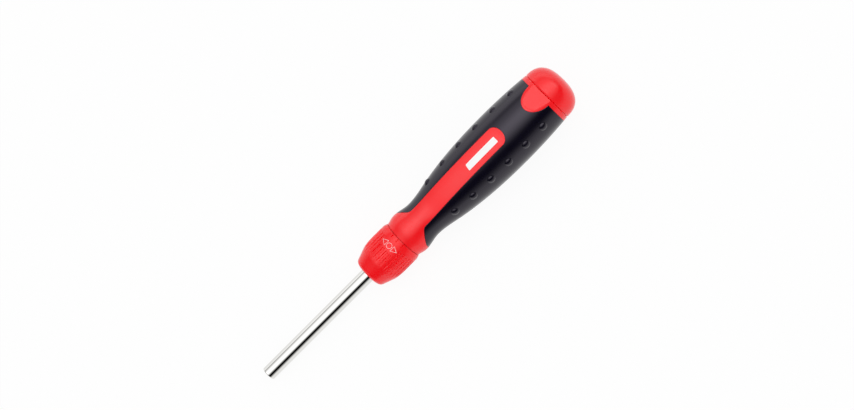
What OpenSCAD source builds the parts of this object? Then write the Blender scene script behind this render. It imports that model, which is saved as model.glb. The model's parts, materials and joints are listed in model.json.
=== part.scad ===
// Ratchet screwdriver with a pull-out bit cartridge in its handle.
// The tool lies along X: the tip of the shaft is at the origin, the end cap is at +X,
// and +Z goes up through the middle of the upper label strip.

/* [Shaft] */
// Length of shaft that stands out of the selector
shaft_reach = 81.9; // [60:0.1:120]
// Diameter of the shaft
shaft_d = 8.6; // [8.4:0.1:9.4]
// Diameter of the shaft behind the selector's front wall
journal_d = 8; // [7.4:0.1:8.2]
// Diameter of the shaft's rear end
tail_journal_d = 6; // [4:0.1:7]
// Chamfer round the shaft's tip
tip_chamfer = 0.5; // [0.2:0.1:0.5]
// Depth of the hex socket
socket_depth = 15; // [12:0.5:24]
// Diameter of the magnet in the socket
magnet_d = 5; // [3:0.1:6]
// Length of the magnet
magnet_l = 4; // [2:0.5:8]
// Wire diameter of the clip that grips a bit
clip_wire = 0.6; // [0.4:0.05:0.7]
// Distance from the tip to the clip
clip_at = 5; // [3:0.5:8]
// Opening of the clip, in degrees
clip_opening = 60; // [30:5:90]

/* [Selector] */
// Length of the selector ring
selector_l = 27.7; // [26:0.1:36]
// Greatest radius of the ring
selector_r = 13.2; // [13:0.05:14]
// Radius of the ring where its front cone ends
cone_r = 12.45; // [12.1:0.05:12.6]
// Length of the front cone, from the front face
cone_l = 8.7; // [8.5:0.1:11]
// Radius at which the rounded front corner meets the front face
face_r = 7.3; // [6:0.1:7.4]
// Radius of the rounded front corner
front_round = 2.9; // [2.5:0.1:3.5]
// Radius of the ring at its rear edge
selector_rear_r = 12.4; // [12.2:0.05:12.6]
// Distance from the rear edge to the thickest place
selector_crown = 5.2; // [3:0.1:6]
// Thickness of the front wall
selector_wall = 2.2; // [1.5:0.1:2.6]
// Grooves round the ring
groove_count = 30; // [24:2:36]
// Width of a groove
groove_w = 1.36; // [0.8:0.02:1.6]
// Depth of a groove
groove_depth = 1; // [0.4:0.05:1]
// Distance from the rear edge to the end of a long groove
groove_end = 4.2; // [3:0.1:7]
// Distance from the rear edge to the end of a short groove
short_groove_end = 9.4; // [8:0.1:12]
// Turn of the selector to each side of its locked place
selector_throw = 17; // [15:0.5:18]

/* [Ratchet] */
// Teeth of the drive gear
gear_teeth = 24; // [24:12:24]
// Tip radius of the drive gear
gear_tip_r = 7; // [6.9:0.05:7.05]
// Depth of the gear's teeth
tooth_depth = 1.4; // [1.3:0.05:1.5]
// Share of the pitch that a tooth takes at its root
tooth_root_share = 0.546; // [0.5:0.002:0.56]
// Share of the pitch that a tooth takes at its tip
tooth_tip_share = 0.174; // [0.16:0.002:0.2]
// Length of the drive gear
gear_l = 8; // [7:0.1:9]
// Width of the key between gear and shaft
key_w = 2; // [1.5:0.1:2.2]
// Height of the key
key_h = 1.8; // [1.4:0.1:1.9]
// Radius of the housing's flanges
flange_r = 10.4; // [10.35:0.01:10.42]
// Thickness of the front flange
flange_t = 2.4; // [1.8:0.1:3]
// Radius of the housing's nose
nose_r = 6.2; // [5.8:0.1:6.4]
// Outer radius of the front bush
bush_r = 5.2; // [4.8:0.1:5.4]
// Radius of the housing's spigot in the handle
spigot_r = 9; // [8.6:0.1:9.1]
// Length of the housing's spigot
spigot_l = 11.4; // [9:0.1:12]
// Height of the keys on the spigot
spigot_key_h = 0.7; // [0.4:0.1:0.8]
// Width of the keys on the spigot
spigot_key_w = 2.4; // [1.6:0.1:3]
// Thickness of the thrust washer
washer_t = 0.5; // [0.4:0.05:0.8]
// Length of the rear bearing
rear_bearing_l = 5.6; // [4:0.1:6]
// Radius from the tool's axis to a pawl's pivot
pivot_r = 8.75; // [8.7:0.01:8.8]
// Diameter of a pawl pin
pawl_pin_d = 1.6; // [1.2:0.05:1.7]
// Wire diameter of the pawl spring
pawl_wire = 0.8; // [0.5:0.05:0.8]
// Depth of the pawl spring's centre line under the flanges' rim
pawl_wire_sink = 0.55; // [0.5:0.05:0.6]
// Wire diameter of the ring that keeps the selector on
snap_wire = 1.1; // [0.8:0.05:1.2]
// Housing left between the pawls' room and the middle of the snap ring
snap_land = 3.4; // [3:0.1:3.6]
// Distance from the middle of the snap ring to the detent spring's front edge
snap_setback = 1.7; // [1.6:0.1:2.2]
// Opening of the snap ring, in degrees
snap_opening = 40; // [20:5:60]
// Thickness of the detent spring
detent_t = 0.5; // [0.3:0.05:0.6]
// Width of the detent spring
detent_w = 3; // [2:0.1:3.2]
// Distance from the handle's front to the detent spring's front edge
detent_setback = 4.4; // [4.2:0.1:4.8]
// Sweep of the detent spring round the axis, in degrees
detent_sweep = 60; // [40:2:64]
// Radius of the bump on the detent spring
detent_bump_r = 0.8; // [0.6:0.05:0.9]
// Depth of the bump's centre under the flanges' rim
detent_bump_sink = 0.25; // [0.2:0.05:0.3]

/* [Pawls] */
// Angle round the axis of a pawl's pivot
pivot_angle = 115; // [112:1:118]
// Angle round the axis of a pawl's tooth
tip_angle = 75; // [75:15:90]
// Angle round the axis of a pawl's tail
tail_angle = 135; // [130:1:138]
// Angle round the axis where a pawl's room starts
room_start = 60; // [56:1:64]
// Angle round the axis where a pawl's room ends
room_stop = 148; // [144:1:150]
// Radius of a pawl's boss round its pin
boss_r = 1.45; // [1.2:0.05:1.5]
// Depth that a pawl's tooth reaches in between the gear's teeth
pawl_depth = 0.55; // [0.4:0.05:0.6]
// Width of the tooth at its point
point_w = 0.24; // [0.1:0.02:0.3]
// Width of the tooth at its root
wedge_w = 1.04; // [0.9:0.02:1.2]
// Gap between the gear and a pawl's arm
arm_gap = 0.85; // [0.7:0.05:0.9]
// Angle by which the arm runs on past its tooth
arm_lap = 3; // [1:0.5:4]
// Half width of the tail at the boss
tail_root = 1.16; // [0.8:0.02:1.2]
// Radius of the tail's round end
tail_ball_r = 0.5; // [0.4:0.05:0.6]
// Height of the tail's end over the flanges' rim
tail_reach = 0.28; // [0.1:0.02:0.3]
// Offset of the cam pocket in the selector from the tool's axis
cam_offset = 1.65; // [1.5:0.05:1.7]
// Step by which the cam pocket's radius is under the flanges' radius
cam_step = 0.7; // [0.6:0.05:0.8]

/* [Handle] */
// Length of the handle from the collar's front to the tail ring's rear
handle_l = 113.5; // [110:0.1:130]
// Radius at the collar's front edge
collar_front_r = 12.2; // [11.6:0.05:12.4]
// Radius of the collar's crest
crest_r = 13.35; // [13:0.05:13.8]
// Distance from the collar's front to its crest
crest_at = 5.6; // [5.5:0.1:7.5]
// Radius of the waist behind the collar
waist_r = 11.9; // [11.8:0.05:12.6]
// Distance from the collar's front to the waist
waist_at = 16.2; // [16:0.1:19]
// Radius of the shoulder, where the handle swells
shoulder_r = 14.65; // [14.4:0.05:15.2]
// Distance from the collar's front to the shoulder
shoulder_at = 34.4; // [33:0.1:36]
// Radius of the belly
belly_r = 17.95; // [17.8:0.05:19]
// Distance from the collar's front to the belly
belly_at = 79.4; // [75:0.1:86]
// Radius where the grip ends at the tail ring
tail_r = 16.55; // [16.4:0.05:17.4]
// Length of the red tail ring
ring_l = 2.8; // [1.5:0.1:4]
// Radius at the tail ring's rear edge
ring_rear_r = 16.25; // [16.2:0.05:16.9]

/* [Grip] */
// Thickness of the soft grip
grip_t = 1.5; // [1.1:0.05:1.6]
// Distance from the collar's front to the grip at the handle's sides
grip_front = 7.2; // [7:0.1:10]
// Distance over which the grip's front edge runs back to the label strip
grip_sweep = 7; // [4:0.1:8]
// Radius of the grip's front corners beside the strip
grip_corner = 4.3; // [1:0.1:5]
// Width of a label strip
strip_w = 12; // [9:0.1:12.6]
// Distance from the collar's front to the strip's rear end
strip_end = 82.7; // [70:0.1:92]
// Radius of the strip's rear corners
strip_corner = 4.9; // [2:0.1:5]
// Length of a thumb tongue ahead of the tail ring
tongue_l = 10.8; // [8:0.1:13]
// Width of a thumb tongue at the tail ring
tongue_w = 15.6; // [12:0.1:17]
// Rim left round the thumb scoop
tongue_rim = 1.1; // [0.6:0.1:1.6]
// Depth of the thumb scoop at the tail
scoop_depth = 1.5; // [0.8:0.1:1.8]
// Distance from the collar's front to the first nub
nub_start = 32.9; // [31:0.1:35]
// Distance between nubs in a row
nub_pitch = 13.54; // [12:0.02:14.2]
// Least distance from the last nub of a row to the tail ring
nub_margin = 2; // [0.5:0.1:4]
// Diameter of a nub where it meets the grip
nub_d = 4.8; // [3:0.1:5]
// Height of a nub over the grip
nub_h = 0.8; // [0.4:0.05:1]
// Angle from a label strip to the rearmost nubs beside it
nub_angle = 50.8; // [46:0.1:56]
// Angle by which a row of nubs spreads away from the strip towards the front
nub_spread = 4.6; // [0:0.2:8]

/* [Bits] */
// Width across the flats of a bit, 1/4 in
bit_af = 6.35; // [6.3:0.01:6.4]
// Length of a double-ended bit
bit_l = 44; // [40:0.5:45]
// Length of the working tip at each end of a bit
bit_tip_l = 8; // [6:0.5:10]
// Radius of a bit's neck where it leaves the hexagon
neck_r = 2.9; // [2.8:0.05:3.1]
// Length of the neck's cone
neck_l = 2.2; // [1.6:0.1:3]
// Radius of the cross tip
phillips_r = 2.3; // [2:0.05:2.6]
// Radius of the small cross tip
small_phillips_r = 1.6; // [1.3:0.05:1.8]
// Share of a cross tip's radius that its flutes leave at the core
cross_web = 0.4; // [0.3:0.02:0.5]
// Width of the slot blade
blade_w = 5.4; // [4:0.1:5.6]
// Thickness of the slot blade at its edge
blade_t = 0.9; // [0.6:0.05:1.2]
// Radius over the corners of the square tip
square_r = 2; // [1.6:0.05:2.4]
// Radius over the points of the star tip
star_r = 2.2; // [1.8:0.05:2.5]
// Radius of the star tip's flutes, as a share of its own radius
star_flute = 0.28; // [0.2:0.01:0.32]
// Radius to the middle of the star tip's flutes, as a share of its own radius
star_flute_at = 1.08; // [1.02:0.01:1.12]
// Radius over the corners of the hex tip
hex_r = 2.3; // [2:0.05:2.6]

/* [Cartridge] */
// Bits in the cartridge
bit_count = 6; // [6:1:6]
// Radius from the tool's axis to a bit
bit_pitch_r = 8.3; // [8.2:0.05:8.4]
// Radius of the cartridge
cartridge_r = 12.2; // [12.1:0.05:12.3]
// Length of the cartridge inside the handle
cartridge_l = 71.8; // [68:0.1:72.5]
// Solid length behind the bits
cartridge_tail = 6.8; // [6:0.1:8]
// Thickness of the cartridge's end web, which the screw's head pulls on
cartridge_web = 5; // [3:0.1:6]
// Thickness of the cartridge's rear flange
rear_flange_t = 2.4; // [1.6:0.1:3]
// Radius of the cartridge's rear flange
rear_flange_r = 13.9; // [13.2:0.1:14]
// Width of a stop lug
lug_w = 4.4; // [3:0.1:5]
// Length of a stop lug
lug_l = 4; // [3:0.1:5]
// Height of a stop lug over the cartridge
lug_h = 0.75; // [0.5:0.05:0.8]
// Thickness of the friction ring's rubber
o_ring_d = 1.9; // [1.5:0.1:2]

/* [End cap] */
// Length of the end cap
cap_l = 13; // [12.6:0.1:18]
// Radius of the end cap at its lip
cap_r = 16.05; // [16:0.05:16.6]
// Wall of the end cap
cap_wall = 2.1; // [1.6:0.1:2.1]
// Fullness of the cap's dome: 2 is an ellipse, higher is squarer
cap_fullness = 2.55; // [2.1:0.05:2.8]
// Radius of the boss that takes the screw
cap_boss_r = 4.5; // [3.5:0.1:5]
// Diameter of the screw's shank
screw_d = 4; // [3:0.1:4.4]
// Diameter of the screw's head
screw_head_d = 6.6; // [5.6:0.1:6.8]
// Height of the screw's head
screw_head_h = 3; // [2:0.1:3.4]
// Thickness of the cap's washer
cap_washer_t = 0.4; // [0.3:0.05:0.6]

/* [Fits] */
// Gap at the seams on either side of the handle
seam_gap = 0.3; // [0.2:0.05:0.4]
// Room between pieces that move past each other
play = 0.3; // [0.25:0.05:0.35]
// Room round the tips of the drive gear
tip_room = 0.2; // [0.15:0.05:0.25]
// Radial room of a shaft or pin in its hole
running = 0.05; // [0.03:0.01:0.06]
// Room between a bit and the faces of its socket or slot
bit_room = 0.1; // [0.05:0.01:0.12]

/* [Hidden] */
$fn = 96;
// Small overlap that lets a cut pass clean through a face
cut = 1;
// Reach of a cut that has to clear the whole handle
clear = 25;
// Angles round the axis of the upper and the lower label strip
up = 90;
down = 270;
// Greatest length of a straight stretch of the handle's and the selector's outlines
handle_step = 2.6;
selector_step = 2;
// Straight stretches of an arc, and of the cap's dome
arc_steps = 8;
dome_steps = 18;
// Angle between the points of a tongue's outline
tongue_step = 7.5;

// Stations along the tool, from the tip of the shaft
shaft_r = shaft_d / 2;
journal_r = journal_d / 2;
selector_x = shaft_reach;
selector_end = selector_x + selector_l;
core_x = selector_end + seam_gap;
core_end = core_x + handle_l;
tail_x = core_end - ring_l;
nub_room = tail_x - nub_margin - nub_d / 2 - core_x - nub_start;
nub_count = 1 + floor(nub_room / nub_pitch);
cap_x = core_end + seam_gap;
detent_x = core_x - detent_setback;
snap_x = detent_x - snap_setback;
gear_end = snap_x - snap_land;
gear_x = gear_end - gear_l;
pawl_room_x = gear_x + play;
pawl_room_l = gear_l - play;
pocket_x = gear_x - 2 * running - washer_t;
flange_x = pocket_x + washer_t - flange_t;
nose_x = selector_x + selector_wall + play;
nose_l = flange_x - nose_x;
bearing_x = gear_end + play;
shaft_end = bearing_x + rear_bearing_l - washer_t;
cartridge_x = core_end - cartridge_l;
bits_end = core_end - cartridge_tail;
bits_x = bits_end - bit_l;
slot_l = bit_l + 2 * play;
cartridge_travel = core_end - bits_x + seam_gap;
web_x = core_end - cartridge_web;
washer_x = cap_x + rear_flange_t + running;
screw_end = cap_x + cap_l - 2 * cap_wall;
cap_bore_r = rear_flange_r + play;
o_ring_x = cartridge_x + lug_l + 2 * o_ring_d;
o_ring_r = cartridge_r + play - 2 * running - o_ring_d / 2;
clip_r = (bit_af + bit_room + clip_wire) / 2;

// Outlines, as [station, radius, slope] at the places where the curve turns
collar_slope = 0.2;
shoulder_slope = 0.17;
tail_slope = -0.095;
handle_knots = [
    [core_x, collar_front_r, collar_slope],
    [core_x + crest_at, crest_r, 0],
    [core_x + waist_at, waist_r, 0],
    [core_x + shoulder_at, shoulder_r, shoulder_slope],
    [core_x + belly_at, belly_r, 0],
    [tail_x, tail_r, tail_slope]
];
cone_slope = 0.23;
rear_slope = -0.6;
selector_knots = [
    [selector_x + cone_l, cone_r, cone_slope],
    [selector_end - selector_crown, selector_r, 0],
    [selector_end, selector_rear_r, rear_slope]
];

// Ratchet sizes that follow from the ones above
gear_root_r = gear_tip_r - tooth_depth;
gear_pitch = 360 / gear_teeth;
pocket_r = gear_tip_r + tip_room;
pivot = polar(pivot_r, pivot_angle);
pawl_tail_end = polar(flange_r + tail_reach - tail_ball_r, tail_angle);
pawl_arm_in = gear_tip_r + arm_gap;
spring_r = flange_r - pawl_wire_sink;
pawl_arm_out = spring_r - pawl_wire / 2 - running;
spring_angle = tip_angle + arm_lap;
cam_r = flange_r - cam_step;
selector_bore = flange_r + running;
detent_bump_at = flange_r - detent_bump_sink;
detent_r = detent_bump_at - detent_bump_r;

function polar(r, a) = [r * cos(a), r * sin(a)];
function arc(c, r, a0, a1) = [for (i = [0:arc_steps]) c + polar(r, a0 + (a1 - a0) * i / arc_steps)];

// Outline of a stretch of a ring between two radii
function sector(r0, r1, a0, a1) = concat(arc([0, 0], r0, a0, a1), arc([0, 0], r1, a1, a0));

// Cubic between two knots
function between(k, m, x) =
    let (l = m[0] - k[0], t = (x - k[0]) / l)
    (1 + 2 * t) * pow(1 - t, 2) * k[1] + t * pow(1 - t, 2) * l * k[2]
    + t * t * (3 - 2 * t) * m[1] + t * t * (t - 1) * l * m[2];

// Points [radius, station] along the curve through the knots
function curve(knots, step) = concat(
    [for (i = [0:len(knots) - 2])
        let (n = ceil((knots[i + 1][0] - knots[i][0]) / step), l = knots[i + 1][0] - knots[i][0])
        for (j = [0:n - 1])
            let (x = knots[i][0] + l * j / n)
            [between(knots[i], knots[i + 1], x), x]],
    [[knots[len(knots) - 1][1], knots[len(knots) - 1][0]]]);

// Radius of the handle at a station
function handle_r(x) =
    let (i = max([0, for (k = [0:len(handle_knots) - 2]) if (x >= handle_knots[k][0]) k]))
    between(handle_knots[i], handle_knots[i + 1], x);

// Points [radius, station] of the cap's dome, from its lip to its pole
function dome(r, x, l) = [for (i = [0:dome_steps])
    let (a = 90 * i / dome_steps)
    [r * pow(cos(a), 2 / cap_fullness), x + l * pow(sin(a), 2 / cap_fullness)]];

// A solid turned round the tool's axis from points [radius, station]
module turned(points) rotate([90, 0, 90]) rotate_extrude() polygon(points);

// A cross-section in Y and Z, drawn out along the tool
module drawn(x, l) translate([x, 0, 0]) rotate([90, 0, 90]) linear_extrude(l) children();

// A plan in X and Y, cut through the whole handle
module through() translate([0, 0, -clear]) linear_extrude(2 * clear) children();

module rod(x, l, r) drawn(x, l) circle(r);

module ring(x, l, r, bore) drawn(x, l) difference() {
    circle(r);
    circle(bore);
}

// A bent wire: part of a ring round the tool's axis
module wire_arc(x, r, wire, start, sweep)
    translate([x, 0, 0]) rotate([90, 0, 90])
        rotate_extrude(angle = sweep, start = start) translate([r, 0]) circle(wire / 2);

// Handle
module handle_skin(inset) {
    skin = [for (p = curve(handle_knots, handle_step)) [p[0] - inset, p[1]]];
    turned(concat([[0, core_x]], skin, [[ring_rear_r - inset, core_end], [0, core_end]]));
}

// Plan of the places where the core comes to the surface
module core_windows() {
    half = strip_w / 2;
    sweep_x = core_x + grip_front;
    slant = atan2(crest_r - half, grip_sweep);
    corner_x = sweep_x + grip_sweep + grip_corner * tan(slant / 2);
    flare = arc([corner_x, half + grip_corner], grip_corner, 270, 270 - slant);
    side = concat([[core_x + strip_end - strip_corner, half]], flare,
        [[sweep_x, crest_r], [sweep_x, clear], [core_x - cut, clear]]);
    for (s = [0, 1]) mirror([0, s]) polygon(concat([[core_x + strip_end - strip_corner, 0]], side,
        [[core_x - cut, 0]]));
    translate([core_x + strip_end - 2 * strip_corner, strip_corner - half])
        square([2 * strip_corner, strip_w - 2 * strip_corner]);
    for (s = [-1, 1])
        translate([core_x + strip_end - strip_corner, s * (half - strip_corner)]) circle(strip_corner);
    tongue(0);
    translate([tail_x, -clear]) square([ring_l + cut, 2 * clear]);
}

// Plan of a thumb tongue, a half ellipse that opens to the rear
module tongue(rim) polygon(concat(
    [for (a = [-90:tongue_step:90]) [tail_x - (tongue_l - rim) * cos(a), (tongue_w / 2 - rim) * sin(a)]],
    [[core_end + cut, tongue_w / 2 - rim], [core_end + cut, rim - tongue_w / 2]]));

// Wedge of air over a thumb tongue, deepest at the tail
module thumb_scoop() {
    front = tail_x - tongue_l + tongue_rim;
    intersection() {
        translate([0, 0, journal_r]) linear_extrude(clear) tongue(tongue_rim);
        translate([0, clear, 0]) rotate([90, 0, 0]) linear_extrude(2 * clear) polygon([
            [front, handle_r(front)],
            [core_end + cut, ring_rear_r - scoop_depth],
            [core_end + cut, clear],
            [front, clear]
        ]);
    }
}

module spigot_outline() {
    circle(spigot_r);
    for (a = [0:90:270])
        rotate(a) translate([spigot_r - cut, -spigot_key_w / 2]) square([cut + spigot_key_h, spigot_key_w]);
}

module handle_core() color("red") difference() {
    union() {
        handle_skin(grip_t);
        intersection() {
            handle_skin(0);
            through() core_windows();
        }
    }
    drawn(core_x - cut, spigot_l + cut) spigot_outline();
    rod(cartridge_x - play, handle_l, cartridge_r + play);
    for (s = [0, 1]) mirror([0, s, 0])
        translate([cartridge_x - play, 0, -lug_w / 2 - play])
            cube([cartridge_travel + lug_l + 3 * play, cartridge_r + lug_h + play / 2, lug_w + 2 * play]);
    for (s = [0, 1]) mirror([0, 0, s]) thumb_scoop();
}

module nub(x, a) {
    ball = (pow(nub_d / 2, 2) + pow(nub_h, 2)) / (2 * nub_h);
    rotate([a, 0, 0]) translate([x, handle_r(x) + nub_h - ball, 0]) sphere(ball);
}

module grip_sleeve() color("#1b1c1e") difference() {
    union() {
        handle_skin(0);
        for (i = [0:nub_count - 1]) {
            turn = nub_angle + nub_spread * pow(1 - i / (nub_count - 1), 2);
            for (side = [up, down], s = [-1, 1])
                nub(core_x + nub_start + i * nub_pitch, side + s * turn);
        }
    }
    handle_skin(grip_t);
    through() core_windows();
}

// Ratchet
module pawl_window() polygon(sector(pocket_r - cut, flange_r + cut, room_start, room_stop));

module pawl_hole(r) for (s = [0, 1]) mirror([0, s]) translate(pivot) circle(r);

module ratchet_housing() color("silver") difference() {
    union() {
        rod(nose_x, nose_l + cut, nose_r);
        rod(flange_x, core_x - flange_x, flange_r);
        drawn(core_x - cut, spigot_l + cut) spigot_outline();
    }
    rod(nose_x - cut, core_x - nose_x, bush_r);
    rod(pocket_x, core_x + spigot_l + cut - pocket_x, pocket_r);
    drawn(pawl_room_x, pawl_room_l) for (s = [0, 1]) mirror([0, s]) pawl_window();
    drawn(flange_x + cut, pawl_room_x + pawl_room_l - flange_x + cut) pawl_hole(pawl_pin_d / 2);
    ring(pawl_room_x + (pawl_room_l - pawl_wire) / 2 - running, pawl_wire + 2 * running,
        flange_r + cut, spring_r - pawl_wire / 2 - running);
    ring(snap_x - snap_wire / 2 - running, snap_wire + 2 * running,
        flange_r + cut, flange_r - snap_wire / 2 - running);
    drawn(detent_x - running, detent_w + 2 * running)
        polygon(sector(detent_r - detent_t / 2 - running, flange_r + cut, room_stop, 360 - room_stop));
}

module front_bush() color("#b98a4a") ring(nose_x, pocket_x - nose_x, bush_r, journal_r + running);

module thrust_washer() color("silver") ring(pocket_x, washer_t, pocket_r - running, journal_r + running);

module rear_bearing() color("#b98a4a")
    ring(bearing_x, rear_bearing_l, pocket_r, tail_journal_d / 2 + running);

module pawl_pins() color("silver")
    drawn(flange_x + cut, pawl_room_x + pawl_room_l - flange_x + cut) pawl_hole(pawl_pin_d / 2);

module pawl_spring() color("gray")
    wire_arc(pawl_room_x + pawl_room_l / 2, spring_r, pawl_wire, -spring_angle, 2 * spring_angle);

module detent_spring() color("gray") {
    half = detent_sweep / 2;
    drawn(detent_x, detent_w)
        polygon(sector(detent_r - detent_t / 2, detent_r + detent_t / 2, 180 - half, 180 + half));
    drawn(detent_x, detent_w) translate([-detent_bump_at, 0]) circle(detent_bump_r);
}

module selector_snap_ring() color("gray")
    wire_arc(snap_x, flange_r, snap_wire, snap_opening / 2, 360 - snap_opening);

// Tooth of a pawl, a blunt wedge that drops between two teeth of the gear
module pawl_point() rotate(tip_angle) polygon([
    [gear_tip_r - pawl_depth, -point_w / 2], [gear_tip_r - pawl_depth, point_w / 2],
    [pawl_arm_in + point_w / 2, wedge_w / 2], [pawl_arm_in + point_w / 2, -wedge_w / 2]
]);

module pawl_arm() polygon(sector(pawl_arm_in, pawl_arm_out, pivot_angle, tip_angle - arm_lap));

// Tail of a pawl, which the selector's cam pushes
module pawl_tail() {
    along = (pawl_tail_end - pivot) / norm(pawl_tail_end - pivot);
    across = [-along[1], along[0]];
    polygon([
        pivot + across * tail_root, pawl_tail_end + across * tail_ball_r,
        pawl_tail_end - across * tail_ball_r, pivot - across * tail_root
    ]);
}

module pawl_slab() {
    x = pawl_room_x + play;
    l = pawl_room_l - 2 * play;
    difference() {
        union() {
            drawn(x, l) translate(pivot) circle(boss_r);
            drawn(x, l) pawl_arm();
            drawn(x, l) pawl_point();
            drawn(x, l) pawl_tail();
            drawn(x, l) translate(pawl_tail_end) circle(tail_ball_r);
        }
        drawn(x - cut, l + 2 * cut) translate(pivot) circle(pawl_pin_d / 2 + running);
    }
}

module pawl_forward() color("silver") pawl_slab();

module pawl_reverse() color("silver") mirror([0, 0, 1]) pawl_slab();

// Shaft
module key_outline() translate([-key_w / 2, journal_r - key_w / 2]) square([key_w, key_h]);

module shaft() color("#e6e8ea") difference() {
    turned([
        [0, 0], [shaft_r - tip_chamfer, 0], [shaft_r, tip_chamfer],
        [shaft_r, selector_x - seam_gap], [journal_r, selector_x - seam_gap],
        [journal_r, gear_end], [tail_journal_d / 2, gear_end],
        [tail_journal_d / 2, shaft_end], [0, shaft_end]
    ]);
    drawn(-cut, socket_depth + cut) hexagon(bit_af + bit_room);
    rod(0, socket_depth + magnet_l, magnet_d / 2);
    rod(clip_at - clip_wire / 2 - running, clip_wire + 2 * running, clip_r + clip_wire / 2 + running);
    drawn(gear_x, gear_l + cut) key_outline();
}

module bit_magnet() color("#55585c") rod(socket_depth, magnet_l, magnet_d / 2);

module bit_clip() color("gray") wire_arc(clip_at, clip_r, clip_wire, clip_opening / 2, 360 - clip_opening);

module gear_outline() {
    root_half = tooth_root_share * gear_pitch / 2;
    tip_half = tooth_tip_share * gear_pitch / 2;
    polygon([for (i = [0:gear_teeth - 1])
        let (c = (i + 0.5) * gear_pitch)
        each [
            polar(gear_root_r, c - root_half), polar(gear_tip_r, c - tip_half),
            polar(gear_tip_r, c + tip_half), polar(gear_root_r, c + root_half)
        ]]);
}

module drive_gear() color("silver") drawn(gear_x, gear_l) difference() {
    gear_outline();
    circle(journal_r);
    key_outline();
}

module gear_key() color("silver") drawn(gear_x, gear_l) key_outline();

// Selector
module selector_body() {
    corner = [selector_x + front_round, face_r];
    to_cone = [selector_x + cone_l, cone_r] - corner;
    touch = atan2(to_cone[1], to_cone[0]) + acos(front_round / norm(to_cone));
    turned(concat(
        [[shaft_r + play, selector_x]],
        [for (p = arc(corner, front_round, 180, touch)) [p[1], p[0]]],
        curve(selector_knots, selector_step),
        [[shaft_r + play, selector_end]]));
}

module groove(a, end) {
    floor_r = selector_r - groove_depth;
    rear = selector_end - end - groove_w / 2;
    rotate([a, 0, 0]) translate([0, floor_r, 0]) rotate([-90, 0, 0]) linear_extrude(clear) {
        translate([selector_x, -groove_w / 2]) square([rear - selector_x, groove_w]);
        translate([rear, 0]) circle(groove_w / 2);
    }
}

module selector_ring() color("#e8202a") difference() {
    selector_body();
    rod(selector_x + selector_wall, selector_l, nose_r + play);
    rod(flange_x - play, selector_l, selector_bore);
    drawn(pawl_room_x, pawl_room_l) translate([-cam_offset, 0]) circle(cam_r);
    ring(snap_x - snap_wire / 2 - 2 * running, snap_wire + 4 * running,
        flange_r + snap_wire / 2 + 2 * running, flange_r - cut);
    for (a = [-1, 0, 1]) rotate([a * selector_throw, 0, 0])
        drawn(detent_x - play, detent_w + 2 * play)
            translate([-detent_bump_at, 0]) circle(detent_bump_r + 3 * running);
    pitch = 360 / groove_count;
    for (i = [0:groove_count - 1]) {
        a = (i + 0.5) * pitch;
        groove(up + a, min(a, 360 - a) < 2 * pitch ? short_groove_end : groove_end);
    }
}

// Cartridge
// Hexagon with a corner pointing away from the axis
module hexagon(af) circle(af / sqrt(3), $fn = 6);

// Open-sided slot that a bit clips into
module bit_slot() {
    hexagon(bit_af + 2 * bit_room);
    translate([0, -bit_af / 2 - bit_room]) square([clear, bit_af + 2 * bit_room]);
}

module at_bits(i) rotate(up + (i + 0.5) * 360 / bit_count) translate([bit_pitch_r, 0]) children();

module bit_cartridge() color("#2a2c30") difference() {
    union() {
        rod(cartridge_x, core_end + seam_gap + rear_flange_t - cartridge_x, cartridge_r);
        rod(core_end + seam_gap, rear_flange_t, rear_flange_r);
        for (s = [0, 1]) mirror([0, s, 0])
            translate([cartridge_x + play, 0, -lug_w / 2]) cube([lug_l, cartridge_r + lug_h, lug_w]);
    }
    for (i = [0:bit_count - 1]) drawn(bits_x - play, slot_l) at_bits(i) bit_slot();
    rod(cartridge_x - cut, web_x - cartridge_x + cut, screw_head_d / 2 + play);
    rod(cartridge_x, cap_x + cap_l - cartridge_x, screw_d / 2 + running);
    ring(o_ring_x - o_ring_d / 2 - running, o_ring_d + 2 * running,
        cartridge_r + cut, o_ring_r - o_ring_d / 2 - running);
}

module cartridge_o_ring() color("#141414") wire_arc(o_ring_x, o_ring_r, o_ring_d, 0, 360);

// A bit in place i of the cartridge, with the same kind of tip at both ends
module bit(i) drawn_at(i) {
    body_l = bit_l - 2 * bit_tip_l;
    translate([0, 0, bit_tip_l]) linear_extrude(body_l) hexagon(bit_af);
    for (end = [0, 1])
        translate([0, 0, end * bit_l]) mirror([0, 0, end]) translate([0, 0, bit_tip_l]) mirror([0, 0, 1])
            children();
}

module drawn_at(i) translate([bits_x, 0, 0]) rotate([90, 0, 90]) at_bits(i) children();

// Cone between a bit's hexagon and its tip
module neck(r) cylinder(h = neck_l, r1 = neck_r, r2 = r);

// Round tip with a blunt cone at its end and four straight flutes
module cross_tip(r) {
    web_r = r * cross_web;
    neck(r);
    difference() {
        translate([0, 0, neck_l]) {
            cylinder(h = bit_tip_l - neck_l - r, r = r);
            translate([0, 0, bit_tip_l - neck_l - r]) cylinder(h = r, r1 = r, r2 = web_r);
        }
        for (a = [45:90:315]) rotate(a) translate([web_r, 0, neck_l + r / 2]) rotate(-45)
            cube([bit_af, bit_af, bit_l]);
    }
}

module blade_tip(w, t) {
    neck(w / 2);
    translate([0, 0, neck_l]) intersection() {
        cylinder(h = bit_tip_l - neck_l, r = w / 2);
        rotate([90, 0, 0]) translate([0, 0, -clear]) linear_extrude(2 * clear) polygon([
            [-w / 2, 0], [w / 2, 0], [t / 2, bit_tip_l - neck_l], [-t / 2, bit_tip_l - neck_l]
        ]);
    }
}

module prism_tip(r, sides) {
    neck(r);
    translate([0, 0, neck_l]) cylinder(h = bit_tip_l - neck_l, r = r, $fn = sides);
}

module star_tip(r) {
    neck(r);
    translate([0, 0, neck_l]) linear_extrude(bit_tip_l - neck_l) difference() {
        circle(r);
        for (a = [0:60:300]) rotate(a) translate([r * star_flute_at, 0]) circle(r * star_flute);
    }
}

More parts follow.
